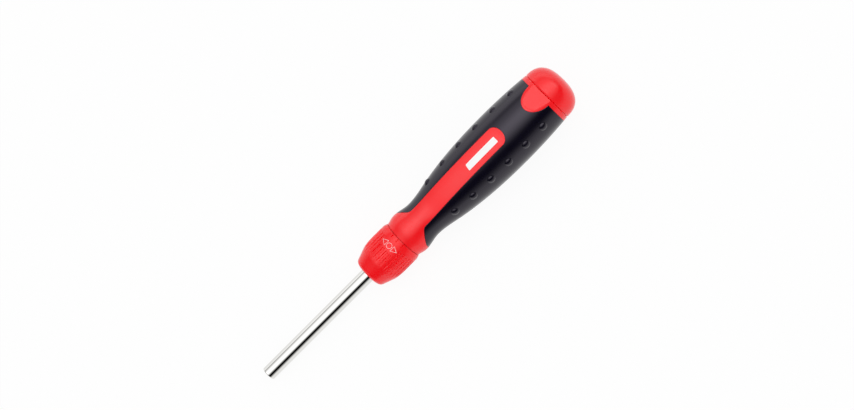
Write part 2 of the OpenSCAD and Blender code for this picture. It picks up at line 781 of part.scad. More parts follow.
module bit_phillips() color("#8d9095") bit(0) cross_tip(phillips_r);
module bit_small_phillips() color("#8d9095") bit(1) cross_tip(small_phillips_r);
module bit_slotted() color("#8d9095") bit(2) blade_tip(blade_w, blade_t);
module bit_square() color("#8d9095") bit(3) prism_tip(square_r, 4);
module bit_star() color("#8d9095") bit(4) star_tip(star_r);
module bit_hex() color("#8d9095") bit(5) prism_tip(hex_r, 6);

// End cap
module end_cap() color("red") difference() {
    turned(concat([[0, cap_x]], dome(cap_r, cap_x, cap_l)));
    difference() {
        turned(concat([[0, cap_x - cut], [cap_bore_r, cap_x - cut]],
            dome(cap_bore_r, cap_x, cap_l - cap_wall)));
        rod(washer_x + cap_washer_t, cap_l, cap_boss_r);
    }
    rod(cap_x, screw_end - cap_x, screw_d / 2);
}

module cap_screw() color("silver") {
    rod(web_x - screw_head_h - 2 * running, screw_head_h, screw_head_d / 2);
    rod(web_x - 2 * running - cut, screw_end - web_x + 2 * running + cut, screw_d / 2);
}

module cap_washer() color("silver") ring(washer_x, cap_washer_t, cap_boss_r, screw_d / 2);

handle_core();
grip_sleeve();
ratchet_housing();
front_bush();
thrust_washer();
rear_bearing();
pawl_pins();
pawl_spring();
detent_spring();
selector_snap_ring();
shaft();
drive_gear();
gear_key();
bit_magnet();
bit_clip();
selector_ring();
pawl_forward();
pawl_reverse();
bit_cartridge();
cartridge_o_ring();
bit_phillips();
bit_small_phillips();
bit_slotted();
bit_square();
bit_star();
bit_hex();
end_cap();
cap_screw();
cap_washer();
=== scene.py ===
"""Ratchet screwdriver: finished skins, prints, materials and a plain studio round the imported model."""

import json
import math

import bmesh
import bpy
import numpy as np
from bpy.props import FloatProperty, FloatVectorProperty, IntProperty, PointerProperty
from bpy.types import Operator, Panel, PropertyGroup
from mathutils import Matrix, Vector, kdtree


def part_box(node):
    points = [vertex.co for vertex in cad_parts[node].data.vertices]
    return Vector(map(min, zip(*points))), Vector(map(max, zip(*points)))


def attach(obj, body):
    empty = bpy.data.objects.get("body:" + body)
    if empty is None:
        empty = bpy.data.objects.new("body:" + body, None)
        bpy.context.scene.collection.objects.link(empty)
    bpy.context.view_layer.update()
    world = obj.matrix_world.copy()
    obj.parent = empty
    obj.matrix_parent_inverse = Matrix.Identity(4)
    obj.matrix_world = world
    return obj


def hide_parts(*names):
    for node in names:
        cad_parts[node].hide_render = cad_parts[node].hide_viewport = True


bl_info = {
    "name": "Ratchet Screwdriver",
    "version": (1, 0, 0),
    "blender": (4, 5, 0),
    "location": "View3D > Sidebar > Screwdriver",
    "description": "Builds the finished surfaces of a ratchet screwdriver round its packed model",
    "category": "Object",
}

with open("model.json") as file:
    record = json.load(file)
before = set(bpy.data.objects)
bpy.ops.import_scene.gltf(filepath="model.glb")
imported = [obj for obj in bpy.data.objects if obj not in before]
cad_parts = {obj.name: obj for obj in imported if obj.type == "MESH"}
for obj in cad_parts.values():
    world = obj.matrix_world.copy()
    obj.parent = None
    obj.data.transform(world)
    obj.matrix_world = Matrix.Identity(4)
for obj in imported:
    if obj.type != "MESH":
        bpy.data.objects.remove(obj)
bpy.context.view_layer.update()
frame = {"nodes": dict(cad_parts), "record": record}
MM = 0.001
MICRON = 1e-6
RIGHT = math.pi / 2

# Stations along the tool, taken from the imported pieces
TIP_X, SHAFT_END_X = (corner.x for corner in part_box("shaft"))
RING_X, RING_END_X = (corner.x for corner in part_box("selector_ring"))
CORE_X, CORE_END_X = (corner.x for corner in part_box("handle_core"))
CAP_X, CAP_END_X = (corner.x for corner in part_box("end_cap"))
STORE_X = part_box("bit_cartridge")[0].x
MAGNET_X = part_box("bit_magnet")[0].x
SCREW_END_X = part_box("cap_screw")[1].x
WASHER_END_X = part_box("cap_washer")[1].x


# Property makers

def length(name, description, millimetres):
    """A distance property, written in millimetres and kept in metres."""
    return FloatProperty(
        name=name, description=description, default=millimetres * MM, unit="LENGTH", precision=5)


def turn(name, description, degrees):
    """An angle property, written in degrees."""
    return FloatProperty(name=name, description=description, default=math.radians(degrees), subtype="ANGLE")


def share(name, description, value):
    """A property from nought to one."""
    return FloatProperty(name=name, description=description, default=value, min=0, max=1, subtype="FACTOR")


def amount(name, description, value):
    """A plain number property."""
    return FloatProperty(name=name, description=description, default=value)


def count(name, description, value):
    """A whole number property."""
    return IntProperty(name=name, description=description, default=value, min=1)


def linear(byte):
    """One sRGB byte as a linear value."""
    c = byte / 255
    return c / 12.92 if c <= 0.04045 else ((c + 0.055) / 1.055) ** 2.4


def colour(name, description, *srgb):
    """A colour property, written as sRGB bytes."""
    return FloatVectorProperty(
        name=name, description=description, default=[linear(b) for b in srgb], size=3, min=0, max=1,
        subtype="COLOR")


class HandleShape(PropertyGroup):
    """Sizes of the handle's outline."""

    collar_front_r: length("Collar front", "Radius at the collar's front edge", 12.2)
    crest_r: length("Crest", "Radius of the collar's crest", 13.35)
    crest_at: length("Crest place", "Distance from the collar's front to its crest", 5.6)
    waist_r: length("Waist", "Radius of the waist behind the collar", 11.9)
    waist_at: length("Waist place", "Distance from the collar's front to the waist", 16.2)
    shoulder_r: length("Shoulder", "Radius where the handle swells", 14.65)
    shoulder_at: length("Shoulder place", "Distance from the collar's front to the shoulder", 34.4)
    belly_r: length("Belly", "Radius of the belly", 17.95)
    belly_at: length("Belly place", "Distance from the collar's front to the belly", 79.4)
    tail_r: length("Tail", "Radius where the grip ends at the tail ring", 16.55)
    ring_l: length("Tail ring", "Length of the red tail ring", 2.8)
    ring_rear_r: length("Tail ring rear", "Radius at the tail ring's rear edge", 16.25)
    collar_slope: amount("Collar slope", "Slope of the outline at the collar's front", 0.2)
    shoulder_slope: amount("Shoulder slope", "Slope of the outline at the shoulder", 0.17)
    tail_slope: amount("Tail slope", "Slope of the outline at the tail ring", -0.095)
    edge_r: length("Edge", "Radius of the rounded edge at the collar's front", 0.35)
    tail_edge_r: length("Tail edge", "Radius of the rounded edge at the tail", 0.35)
    boss_r: length("Front boss", "Radius of the low boss behind the selector", 11.55)
    boss_bore_r: length("Front boss bore", "Bore of the low boss", 10.45)
    boss_l: length("Front boss height", "Height of the low boss", 0.22)
    socket_r: length("Front socket", "Radius of the socket that takes the ratchet's housing", 9.0)
    socket_l: length("Front socket depth", "Depth of that socket", 11.4)
    store_r: length("Store", "Radius of the bore that takes the bit cartridge", 12.5)
    relief_r: length("Store relief", "Radius of the bore's relief for the cartridge's lugs", 13.2)
    mouth_l: length("Store mouth", "Length of the narrow mouth behind the relief", 14.0)


class GripShape(PropertyGroup):
    """Sizes of the soft grip and of the places where the core shows."""

    thick: length("Thickness", "Thickness of the soft grip", 1.5)
    front: length("Front", "Distance from the collar's front to the grip at the handle's sides", 7.2)
    sweep: length("Sweep", "Distance over which the grip's front edge runs back to the strip", 7)
    corner: length("Corner", "Radius of the grip's front corners beside the strip", 4.3)
    strip_w: length("Strip", "Width of a label strip", 12)
    strip_end: length("Strip end", "Distance from the collar's front to the strip's rear end", 82.7)
    strip_round: length("Strip round", "Length of the strip's rounded end", 4.5)
    strip_full: amount("Strip fullness", "Fullness of the strip's end, where 2 is an ellipse", 2.05)
    strip_flat: share("Strip flatness", "Share of the handle's roundness that a strip lacks", 0.5)
    strip_ease: length("Strip ease", "Length over which a strip flattens behind its front corners", 10)
    tongue_l: length("Tongue", "Length of a thumb tongue ahead of the tail ring", 10.8)
    tongue_w: length("Tongue width", "Width of a thumb tongue at the tail ring", 15.6)
    tongue_rim: length("Tongue rim", "Rim left round the thumb scoop", 1.1)
    scoop_front: length("Scoop front", "Depth of the thumb scoop at its front", 0.3)
    scoop_depth: length("Scoop", "Depth of the thumb scoop at the tail", 1.5)
    scoop_soft: length("Scoop wall", "Width over which the scoop's wall falls", 0.35)
    lip: length("Lip", "Radius of the rounded lips where grip and core meet", 0.22)
    nub_count: count("Nubs", "Nubs in a row", 6)
    nub_start: length("First nub", "Distance from the collar's front to the first nub", 32.9)
    nub_pitch: length("Nub pitch", "Distance between nubs in a row", 13.54)
    nub_r: length("Nub", "Radius of a nub where it meets the grip", 2.4)
    nub_h: length("Nub height", "Height of a nub over the grip", 1.0)
    nub_soft: length("Nub foot", "Softness of the corner at a nub's foot", 0.06)
    nub_angle: turn("Nub angle", "Angle from a strip to the rearmost nubs beside it", 50.8)
    nub_spread: turn("Nub spread", "Angle by which a row spreads away from the strip to the front", 4.6)


class RingShape(PropertyGroup):
    """Sizes of the selector ring."""

    top_r: length("Radius", "Greatest radius of the ring", 13.2)
    cone_r: length("Cone", "Radius where the front cone ends", 12.45)
    cone_l: length("Cone length", "Length of the front cone", 8.7)
    cone_slope: amount("Cone slope", "Slope of the outline where the cone ends", 0.23)
    face_r: length("Face", "Radius at which the rounded corner meets the front face", 7.3)
    front_round: length("Front round", "Radius of the rounded front corner", 2.9)
    rear_r: length("Rear", "Radius at the rear edge", 12.4)
    rear_slope: amount("Rear slope", "Slope of the outline at the rear edge", -0.6)
    crown: length("Crown", "Distance from the rear edge to the thickest place", 5.2)
    edge_r: length("Edge", "Radius of the rounded rear edge", 0.4)
    hole_r: length("Hole", "Radius of the hole round the shaft", 4.6)
    wall: length("Wall", "Thickness of the front wall", 2.2)
    nose_r: length("Nose bore", "Radius of the bore round the housing's nose", 6.5)
    nose_l: length("Nose bore length", "Length of that bore", 5.5)
    bore_r: length("Bore", "Radius of the bore round the housing", 10.45)
    relief_r: length("Relief", "Radius of the bore's relief round pawls and springs", 11.4)
    relief_start: length("Relief start", "Distance from the front face to the relief", 10.4)
    relief_end: length("Relief end", "Distance from the rear edge to the relief's end", 0.7)
    groove_count: count("Grooves", "Grooves round the ring", 30)
    groove_w: length("Groove", "Width of a groove", 1.36)
    groove_depth: length("Groove depth", "Depth of a groove", 0.58)
    groove_soft: length("Groove wall", "Width over which a groove's wall falls", 0.4)
    groove_end: length("Groove end", "Distance from the rear edge to the end of a long groove", 4.2)
    short_end: length("Short end", "Distance from the rear edge to the end of a short groove", 9.4)
    tick_angle: turn("Tick", "Angle of the middle tick from the strip", -5)
    tick_pitch: turn("Tick pitch", "Angle between ticks", 18.2)
    tick_w: length("Tick width", "Width of a tick", 0.5)
    tick_depth: length("Tick depth", "Depth of a tick", 0.6)
    tick_start: length("Tick start", "Distance from the rear edge to a tick's front end", 2.0)
    tick_end: length("Tick end", "Distance from the rear edge to a tick's rear end", 0.4)


class PrintShape(PropertyGroup):
    """Sizes of the printed signs."""

    film: length("Film", "Height of a print over its surface", 0.03)
    stroke: length("Stroke", "Width of the selector sign's lines", 0.13)
    sign_at: length("Sign place", "Distance from the ring's rear edge to the middle of the sign", 6.2)
    circle_r: length("Circle", "Outer radius of the sign's circle", 1.7)
    arrow_base: length("Arrow base", "Distance from the sign's middle to an arrow's base", 2.3)
    arrow_tip: length("Arrow tip", "Distance from the sign's middle to an arrow's tip", 5.85)
    arrow_half: length("Arrow width", "Half the width of an arrow's base", 1.9)
    panel_l: length("Panel", "Length of the blank name panel", 22.15)
    panel_w: length("Panel width", "Width of the blank name panel", 3.95)
    panel_at: length("Panel place", "Distance from the collar's front to the panel's middle", 66.4)
    panel_side: length("Panel side", "Distance of the panel's middle from the strip's middle", -0.9)
    panel_slant: turn("Panel slant", "Slant of the panel's front end", 9)
    panel_round: length("Panel corner", "Radius of the panel's corners", 0.5)


class ShaftShape(PropertyGroup):
    """Sizes of the shaft."""

    radius: length("Radius", "Radius of the shaft", 4.3)
    chamfer: length("Chamfer", "Chamfer round the tip", 0.5)
    socket_af: length("Socket", "Width across the flats of the hex socket", 6.45)
    socket_lead: length("Socket lead", "Chamfer at the socket's mouth", 0.25)
    magnet_r: length("Magnet", "Radius of the magnet's seat", 2.5)
    shoulder_gap: length("Shoulder", "Distance from the shaft's shoulder to the selector", 0.3)
    journal_r: length("Journal", "Radius of the shaft inside the selector", 4.0)
    journal_l: length("Journal length", "Length of that stretch", 18.0)
    tail_r: length("Tail", "Radius of the shaft's rear end", 3.0)


class CapShape(PropertyGroup):
    """Sizes of the end cap."""

    radius: length("Radius", "Radius of the cap at its lip", 16.25)
    fullness: amount("Fullness", "Fullness of the dome, where 2 is an ellipse", 2.55)
    lip: length("Lip", "Length by which the lip stands behind the cap's front", 0.28)
    bevel: length("Bevel", "Depth of the bevel from the lip to the cap's front", 0.55)
    reach: length("Reach", "Length by which the bevel stands into the seam", 0.27)
    wall: length("Wall", "Thickness of the cap's wall", 2.1)
    bore_r: length("Bore", "Radius of the hollow", 14.2)
    boss_r: length("Boss", "Radius of the boss that takes the screw", 4.5)
    screw_r: length("Screw", "Radius of the screw's hole", 2.0)


class FinishColours(PropertyGroup):
    """Colours of the finishes."""

    red: colour("Red", "Moulded red of the handle and the cap", 250, 4, 18)
    ring_red: colour("Ring red", "Moulded red of the selector", 250, 3, 17)
    black: colour("Black", "Soft black of the grip", 9, 7, 21)
    black_shine: colour("Black shine", "Tint of the reflections in the soft black", 249, 240, 255)
    store_black: colour("Store black", "Black plastic of the cartridge", 22, 22, 25)
    print_white: colour("Print", "White of the printed signs", 250, 250, 249)
    chrome: colour("Chrome", "Plated shaft", 228, 227, 224)
    steel: colour("Steel", "Machined steel", 205, 205, 206)
    spring: colour("Spring steel", "Drawn spring wire", 150, 150, 156)
    bit_grey: colour("Bit grey", "Blasted steel of the bits", 138, 140, 144)
    magnet: colour("Magnet", "Nickel plate of the magnet", 190, 188, 184)
    bronze: colour("Bronze", "Sintered bronze of the bearings", 196, 150, 92)
    zinc: colour("Zinc", "Die-cast housing", 176, 178, 182)
    seal: colour("Seal", "Rubber of the friction ring", 26, 26, 27)


class StageSettings(PropertyGroup):
    """Camera, light and floor."""

    roll: turn("Roll", "Turn of the tool round its axis, away from the camera", 13.05)
    slant: turn("Slant", "Slant of the tool in the picture", 45)
    distance: length("Distance", "Distance from the camera to the tool's axis", 850)
    view_w: length("View", "Width of the picture at the tool", 480.6)
    centre_x: length("Centre", "Station at the middle of the picture", 133.1)
    centre_side: length("Centre side", "Distance of the picture's middle from the axis", 4.21)
    camera_x: length("Camera place", "Station that the camera stands over", 224.2)
    sensor_w: length("Sensor", "Width of the camera's sensor", 36)
    floor_size: length("Floor", "Width of the floor", 8000)
    floor_white: share("Floor white", "Albedo of the floor", 0.9)
    floor_glow: share("Floor glow", "Share of the floor that stays white in the object's shadow", 0.93)
    light_level: amount("Surround", "Strength of the even light from all round", 0.87)
    shine_level: amount("Reflections", "Strength of the brightest part of the surround in reflections", 2.43)
    key_power: FloatProperty(name="Key", description="Power of the soft key light", default=3, unit="POWER")
    key_size: length("Key size", "Width of the key light", 900)
    key_distance: length("Key distance", "Distance from the tool to the key light", 1500)
    key_turn: turn("Key turn", "Angle from the camera to the key light, round the tool", 19)
    key_lean: turn("Key lean", "Angle by which the key light leans towards the end cap", 16)


# Brightness of the reflected surround by its angle round the tool, from the camera to the upper left
ROUND_LIGHT = [
    (-180, 0.33), (-74, 0.345), (-50, 0), (-27, 0), (-13, 0.32), (-2, 0.66), (10, 0.92), (22, 1), (34, 0.88),
    (45, 0.6), (62, 0.4), (68, 0.25), (77, 0.25), (83, 0.55), (102, 0.58), (180, 0.33),
]
# Share of it that is left by its angle along the tool, from the tip's side to the cap's side
ALONG_LIGHT = [
    (-90, 0.4), (-66, 0.4), (-54, 0.1), (-48, 0.1), (-36, 0.45), (-24, 0.7), (-10, 0.88), (5, 1), (60, 1),
    (78, 0.4), (90, 0.4),
]

GROUPS = {
    "driver_handle": HandleShape,
    "driver_grip": GripShape,
    "driver_ring": RingShape,
    "driver_print": PrintShape,
    "driver_shaft": ShaftShape,
    "driver_cap": CapShape,
    "driver_colours": FinishColours,
    "driver_stage": StageSettings,
}

# Places of the handle's columns beside a seam, in radii of the seam's lip
LIP_COLUMNS = np.array([0, 0.25, 0.55, 0.9, 1.3, 2.0])
# Reach of the close rows and columns round a nub, in radii of the nub
NUB_REACH = 1.12
# Places of the selector's ticks, in pitches from the middle one
TICKS = (-1, 0, 1)


# Curves and outlines

def through_knots(knots, x):
    """Radius at each station on the cubic through knots of (station, radius, slope)."""
    at, radius, slope = np.array(knots, float).T
    i = np.clip(np.searchsorted(at, x, side="right") - 1, 0, len(at) - 2)
    run = at[i + 1] - at[i]
    t = (x - at[i]) / run
    return ((1 + 2 * t) * (1 - t) ** 2 * radius[i] + t * (1 - t) ** 2 * run * slope[i]
            + t * t * (3 - 2 * t) * radius[i + 1] + t * t * (t - 1) * run * slope[i + 1])


def smooth(t):
    """Eased step from 0 to 1."""
    t = np.clip(t, 0, 1)
    return t * t * (3 - 2 * t)


def spaced(start, end, step):
    """Even stations from start to end, at most a step apart."""
    return np.linspace(start, end, max(2, math.ceil(abs(end - start) / step) + 1))


def crowded(start, reach, steps):
    """Stations that crowd together at the start."""
    return start + reach * (np.arange(steps + 1) / steps) ** 2


def tidy_stations(parts, least):
    """The stations of several lists in order, without near repeats."""
    rows = np.sort(np.concatenate(parts))
    return rows[np.concatenate([[True], np.diff(rows) > least])]


def full_turn(steps):
    """Even angles once round."""
    return np.linspace(0, 2 * math.pi, steps, endpoint=False)


def edge_round(end, radius, degrees, side=1):
    """Stations and drops of a rounded edge at an end, where side is 1 at the rear and -1 at the front."""
    a = np.radians(degrees)
    return end - side * radius * (1 - np.sin(a)), radius * (1 - np.cos(a))


# Meshes

def add_object(name, data):
    """A new object in the scene."""
    made = bpy.data.objects.new(name, data)
    bpy.context.scene.collection.objects.link(made)
    return made


def clean_mesh(name, points, faces, sharp):
    """A mesh object from points and faces, with repeats merged and slivers of no area taken out."""
    merge = 2 * MICRON
    mesh = bpy.data.meshes.new(name)
    bm = bmesh.new()
    made = [bm.verts.new(p) for p in points]
    for face in faces:
        bm.faces.new([made[i] for i in face])
    bmesh.ops.remove_doubles(bm, verts=bm.verts, dist=merge)
    bmesh.ops.dissolve_degenerate(bm, edges=bm.edges, dist=merge)
    bmesh.ops.recalc_face_normals(bm, faces=bm.faces)
    bm.to_mesh(mesh)
    bm.free()
    mesh.shade_smooth()
    mesh.set_sharp_from_angle(angle=math.radians(sharp))
    return add_object(name, mesh)


def grid_faces(rows, columns, start=0, wrap=False, flip=False):
    """Faces of a grid of points that are numbered row by row."""
    faces = []
    for i in range(rows - 1):
        for j in range(columns if wrap else columns - 1):
            k = (j + 1) % columns
            quad = [start + i * columns + j, start + (i + 1) * columns + j,
                    start + (i + 1) * columns + k, start + i * columns + k]
            faces.append(quad[::-1] if flip else quad)
    return faces


def row_edges(columns, row, wrap=False):
    """Edges along a row of a grid."""
    first = row * columns
    return [(first + j, first + (j + 1) % columns) for j in range(columns if wrap else columns - 1)]


def side_edges(columns, rows):
    """Edges down both sides of a grid, from each of the rows given to the next."""
    return [(i * columns + j, (i + 1) * columns + j) for i in rows for j in (0, columns - 1)]


def shell_faces(rows, columns, edges, wrap=False):
    """Faces of two like grids, numbered one after the other and joined along the given edges."""
    size = rows * columns
    faces = grid_faces(rows, columns, 0, wrap) + grid_faces(rows, columns, size, wrap, flip=True)
    return faces + [[a, b, b + size, a + size] for a, b in edges]


def round_points(x, angle, radius):
    """Points from stations, angles from the upper strip and radii, as one list of rows."""
    x, angle, radius = np.broadcast_arrays(x, angle, radius)
    return np.stack([x, radius * np.sin(angle), radius * np.cos(angle)], axis=-1).reshape(-1, 3)


def lofted(name, x, angle, radius, sharp):
    """A piece of closed rows round the tool's axis, from their stations, angles and radii."""
    points = round_points(np.array(x)[:, None], angle, radius)
    return clean_mesh(name, points, grid_faces(len(x), len(points) // len(x), wrap=True), sharp)


def place(piece, body, slot, material, *nodes):
    """Gives a piece its finish, the body that it rides on and the nodes that it stands for."""
    piece.data.materials.append(bpy.data.materials[material])
    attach(piece, body)
    if nodes:
        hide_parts(*nodes)


# The handle's surface

class Places:
    """Stations on the handle that several pieces share."""

    def __init__(self, h, g):
        halvings = 40
        half = g.strip_w / 2
        self.tail = CORE_END_X - h.ring_l
        self.strip_end = CORE_X + g.strip_end
        self.tongue = self.tail - g.tongue_l
        self.slope = (h.crest_r - half) / g.sweep
        slant = math.atan(self.slope)
        self.corner = CORE_X + g.front + g.sweep + g.corner * math.tan(slant / 2)
        self.touch = self.corner - g.corner * math.sin(slant)
        self.touch_half = half + g.corner * (1 - math.cos(slant))
        low, high = CORE_X + g.front, self.touch
        for _ in range(halvings):
            middle = (low + high) / 2
            if self.touch_half + (self.touch - middle) * self.slope > handle_radius(h, middle):
                low = middle
            else:
                high = middle
        self.front = high
        self.nubs = CORE_X + g.nub_start + g.nub_pitch * np.arange(g.nub_count)


def handle_radius(h, x):
    """Radius of the handle's outline at each station."""
    tail = CORE_END_X - h.ring_l
    knots = [
        (CORE_X, h.collar_front_r, h.collar_slope),
        (CORE_X + h.crest_at, h.crest_r, 0),
        (CORE_X + h.waist_at, h.waist_r, 0),
        (CORE_X + h.shoulder_at, h.shoulder_r, h.shoulder_slope),
        (CORE_X + h.belly_at, h.belly_r, 0),
        (tail, h.tail_r, h.tail_slope),
    ]
    ring = h.tail_r + (h.ring_rear_r - h.tail_r) * (x - tail) / h.ring_l
    return np.where(x > tail, ring, through_knots(knots, np.minimum(x, tail)))


def window_angle(h, g, p, x):
    """Angle from a strip's middle to the edge of the red at each station."""
    half = g.strip_w / 2
    flare = p.touch_half + (p.touch - x) * p.slope
    corner = half + g.corner - np.sqrt(np.maximum(g.corner ** 2 - (x - p.corner) ** 2, 0))
    t = np.clip((x - p.strip_end) / g.strip_round + 1, 0, 1)
    strip = half * (1 - t ** g.strip_full) ** (1 / g.strip_full)
    t = np.clip((p.tail - x) / g.tongue_l, 0, 1)
    tongue = g.tongue_w / 2 * np.sqrt(1 - t * t)
    wide = np.select(
        [x < p.touch, x < p.corner, x < p.strip_end, x < p.tongue], [flare, corner, strip, 0 * x], tongue)
    return np.where(x <= p.front, RIGHT, np.arcsin(np.clip(wide / handle_radius(h, x), 0, 1)))


def handle_stations(g, p):
    """Stations of the grip's rows, closer together where its shape turns quickly."""
    fine, coarse, reach = 0.3 * MM, 1.0 * MM, 2.5 * MM
    many, few = 12, 5
    around = NUB_REACH * g.nub_r
    parts = [
        spaced(p.front + reach, p.tail, coarse),
        spaced(p.touch - reach / 2, p.corner + reach / 4, fine),
        crowded(p.front, reach, many),
        crowded(p.strip_end, -reach, many),
        crowded(p.strip_end, reach / 4, few),
        crowded(p.tongue, reach, many),
        crowded(p.tongue, -reach / 4, few),
        crowded(p.tail, -2 * g.lip, few),
    ]
    parts += [spaced(nub - around, nub + around, fine / 2) for nub in p.nubs]
    rows = tidy_stations(parts, 15 * MICRON)
    for exact in (p.front, p.strip_end, p.tongue, p.tail):
        rows[np.argmin(np.abs(rows - exact))] = exact
    return rows


def seam_tree(h, g, p):
    """Points along the seam between grip and core, laid out flat as (station, arc)."""
    step, reach, many = 0.04 * MM, 2 * MM, 90
    flat = []
    for start, end, crowds in (
            (p.front, p.strip_end, ((p.front, reach), (p.strip_end, -reach))),
            (p.tongue, p.tail, ((p.tongue, reach),))):
        parts = [spaced(start, end, step), handle_stations(g, p)] + [crowded(*c, many) for c in crowds]
        x = tidy_stations(parts, MICRON)
        x = x[(x >= start) & (x <= end)]
        flat.append(np.stack([x, handle_radius(h, x) * window_angle(h, g, p, x)], 1))
    arc = spaced(flat[1][-1, 1], handle_radius(h, p.tail) * RIGHT, step)
    flat.append(np.stack([np.full_like(arc, p.tail), arc], 1))
    points = np.concatenate(flat)
    tree = kdtree.KDTree(len(points))
    for i, (s, a) in enumerate(points):
        tree.insert((s, a, 0), i)
    tree.balance()
    return tree


def seam_drop(tree, lip, x, arc):
    """How far a rounded lip falls away beside the seam, at points laid out flat."""
    x, arc = np.broadcast_arrays(x, arc)
    gap = np.array([tree.find((s, a, 0))[2] for s, a in zip(x.ravel(), arc.ravel())]).reshape(x.shape)
    inside = np.clip(1 - gap / lip, 0, 1)
    return lip * (1 - np.sqrt(1 - inside ** 2))


def nub_turn(g, p, x):
    """Angle from a strip to its row of nubs at each station."""
    ahead = np.clip((p.nubs[-1] - x) / (p.nubs[-1] - p.nubs[0]), 0, 1)
    return g.nub_angle + g.nub_spread * ahead ** 2


def grip_columns(g, p, x, start, radius):
    """Angles of one quarter of the grip's columns in each row, from the seam to the handle's side."""
    lip_most, before_least, round_least = 0.4, 0.12, 0.25
    before, around, after = 8, 34, 9
    row, reach = nub_turn(g, p, x), NUB_REACH * g.nub_r / radius
    offsets = LIP_COLUMNS * g.lip
    near = start + offsets * (np.minimum(1, lip_most * (RIGHT - start) * radius / offsets[-1]) / radius)
    edge = near[:, -1:]
    first = np.maximum(row - reach, edge + before_least * (RIGHT - edge))
    second = np.maximum(row + reach, first + round_least * (RIGHT - first))
    columns = [near]
    for a, b, n in ((edge, first, before), (first, second, around), (second, RIGHT, after)):
        columns.append(a + (b - a) * (np.arange(1, n + 1) / n))
    return np.concatenate(columns, axis=1)


def nub_rise(g, p, x, angle, radius):
    """Height of the nubs at points of the grip, given by station, angle from a strip and radius."""
    ball = (g.nub_r ** 2 + g.nub_h ** 2) / (2 * g.nub_h)
    rise = np.zeros(angle.shape)
    for nub in p.nubs:
        away = np.hypot(x - nub, radius * (angle - nub_turn(g, p, nub)))
        dome = np.sqrt(np.maximum(ball ** 2 - away ** 2, 0)) - (ball - g.nub_h)
        rise += (dome + np.hypot(dome, g.nub_soft)) / 2
    return np.where(rise < MICRON, 0, rise)


def grip_piece(h, g):
    """The soft grip: a closed skin in two halves that meet where no red shows."""
    sunk = 20 * MICRON
    p = Places(h, g)
    x = handle_stations(g, p)[:, None]
    radius = handle_radius(h, x)
    start = window_angle(h, g, p, x)
    quarter = grip_columns(g, p, x, start, radius)
    rows, columns = len(x), 2 * quarter.shape[1] - 1
    drop = seam_drop(seam_tree(h, g, p), g.lip, x, radius * quarter) - nub_rise(g, p, x, quarter, radius)
    angle = np.concatenate([quarter, math.pi - quarter[:, -2::-1]], axis=1)
    outer_r = radius - np.concatenate([drop, drop[:, -2::-1]], axis=1)
    half = np.concatenate([round_points(x, angle, r) for r in (outer_r, radius - g.thick + sunk)])
    open_rows = [i for i in range(rows - 1) if start[i] > 0 or start[i + 1] > 0]
    faces = shell_faces(rows, columns, side_edges(columns, open_rows) + row_edges(columns, rows - 1))
    faces += [[i + len(half) for i in face[::-1]] for face in faces]
    return clean_mesh("grip_skin", np.concatenate([half, half * [1, -1, 1]]), faces, sharp=60)


def strip_drop(h, g, p, x, angle, radius):
    """How far a label strip lies below the handle's round, because it is flatter across."""
    half = radius * np.sin(window_angle(h, g, p, x))
    ease = smooth((x - p.corner) / g.strip_ease) * (x < p.strip_end)
    gain = np.maximum(half ** 2 - (radius * np.sin(angle)) ** 2, 0)
    return ease * g.strip_flat * gain / (2 * radius)


def scoop_drop(h, g, p, x, angle, radius):
    """How far the thumb scoop cuts into the red at each point."""
    rise = radius * np.cos(angle)
    side = np.abs(radius * np.sin(angle))
    front = p.tongue + g.tongue_rim
    front_r = handle_radius(h, front) - g.scoop_front
    floor = front_r + (h.ring_rear_r - g.scoop_depth - front_r) * (x - front) / (CORE_END_X - front)
    deep, wide = g.tongue_l - g.tongue_rim, g.tongue_w / 2 - g.tongue_rim
    around = np.hypot(np.maximum(p.tail - x, 0) / deep, side / wide)
    inside = smooth((1 - around) * wide / g.scoop_soft)
    return inside * np.maximum(rise - floor, 0)


def core_skin(h, g, p):
    """Stations, angles and radii of a quarter of the core's outside: the red and the bed under the grip."""
    collar_step, ring_step, lip_rows, lip_most = 1.0 * MM, 0.4 * MM, 5, 0.3
    red_steps, bed_steps = 17, 16
    tree = seam_tree(h, g, p)
    body = np.concatenate([spaced(CORE_X + h.edge_r, p.front, collar_step)[:-1], handle_stations(g, p)])
    ring = np.concatenate([
        crowded(p.tail, 2 * g.lip, lip_rows),
        spaced(p.tail + 2 * g.lip, CORE_END_X - h.tail_edge_r, ring_step)[1:]])
    x = np.concatenate([body, ring])[:, None]
    radius = handle_radius(h, x)
    edge = window_angle(h, g, p, x)
    offsets = LIP_COLUMNS[::-1] * g.lip
    near = edge - np.minimum(offsets / radius, lip_most * edge * offsets / offsets[0])
    red = np.concatenate([near[:, :1] * np.arange(red_steps) / red_steps, near], axis=1)
    bed = edge + (RIGHT - edge) * np.linspace(0, 1, bed_steps + 1)
    drop = seam_drop(tree, g.lip, x, radius * red)
    for lower in (strip_drop, scoop_drop):
        drop = drop + lower(h, g, p, x, red, radius)
    low = radius - g.thick
    red_r = np.where(edge == 0, low, radius - drop)
    bed_r = np.repeat(low, bed.shape[1], 1)
    raised = slice(len(body), None)
    bed_r[raised] = radius[raised] - seam_drop(tree, g.lip, x[raised], (radius * bed)[raised])
    bed_r = np.where(edge >= RIGHT, red_r[:, -1:], bed_r)
    return x[:, 0], np.concatenate([red, bed], axis=1), np.concatenate([red_r, bed_r], axis=1)


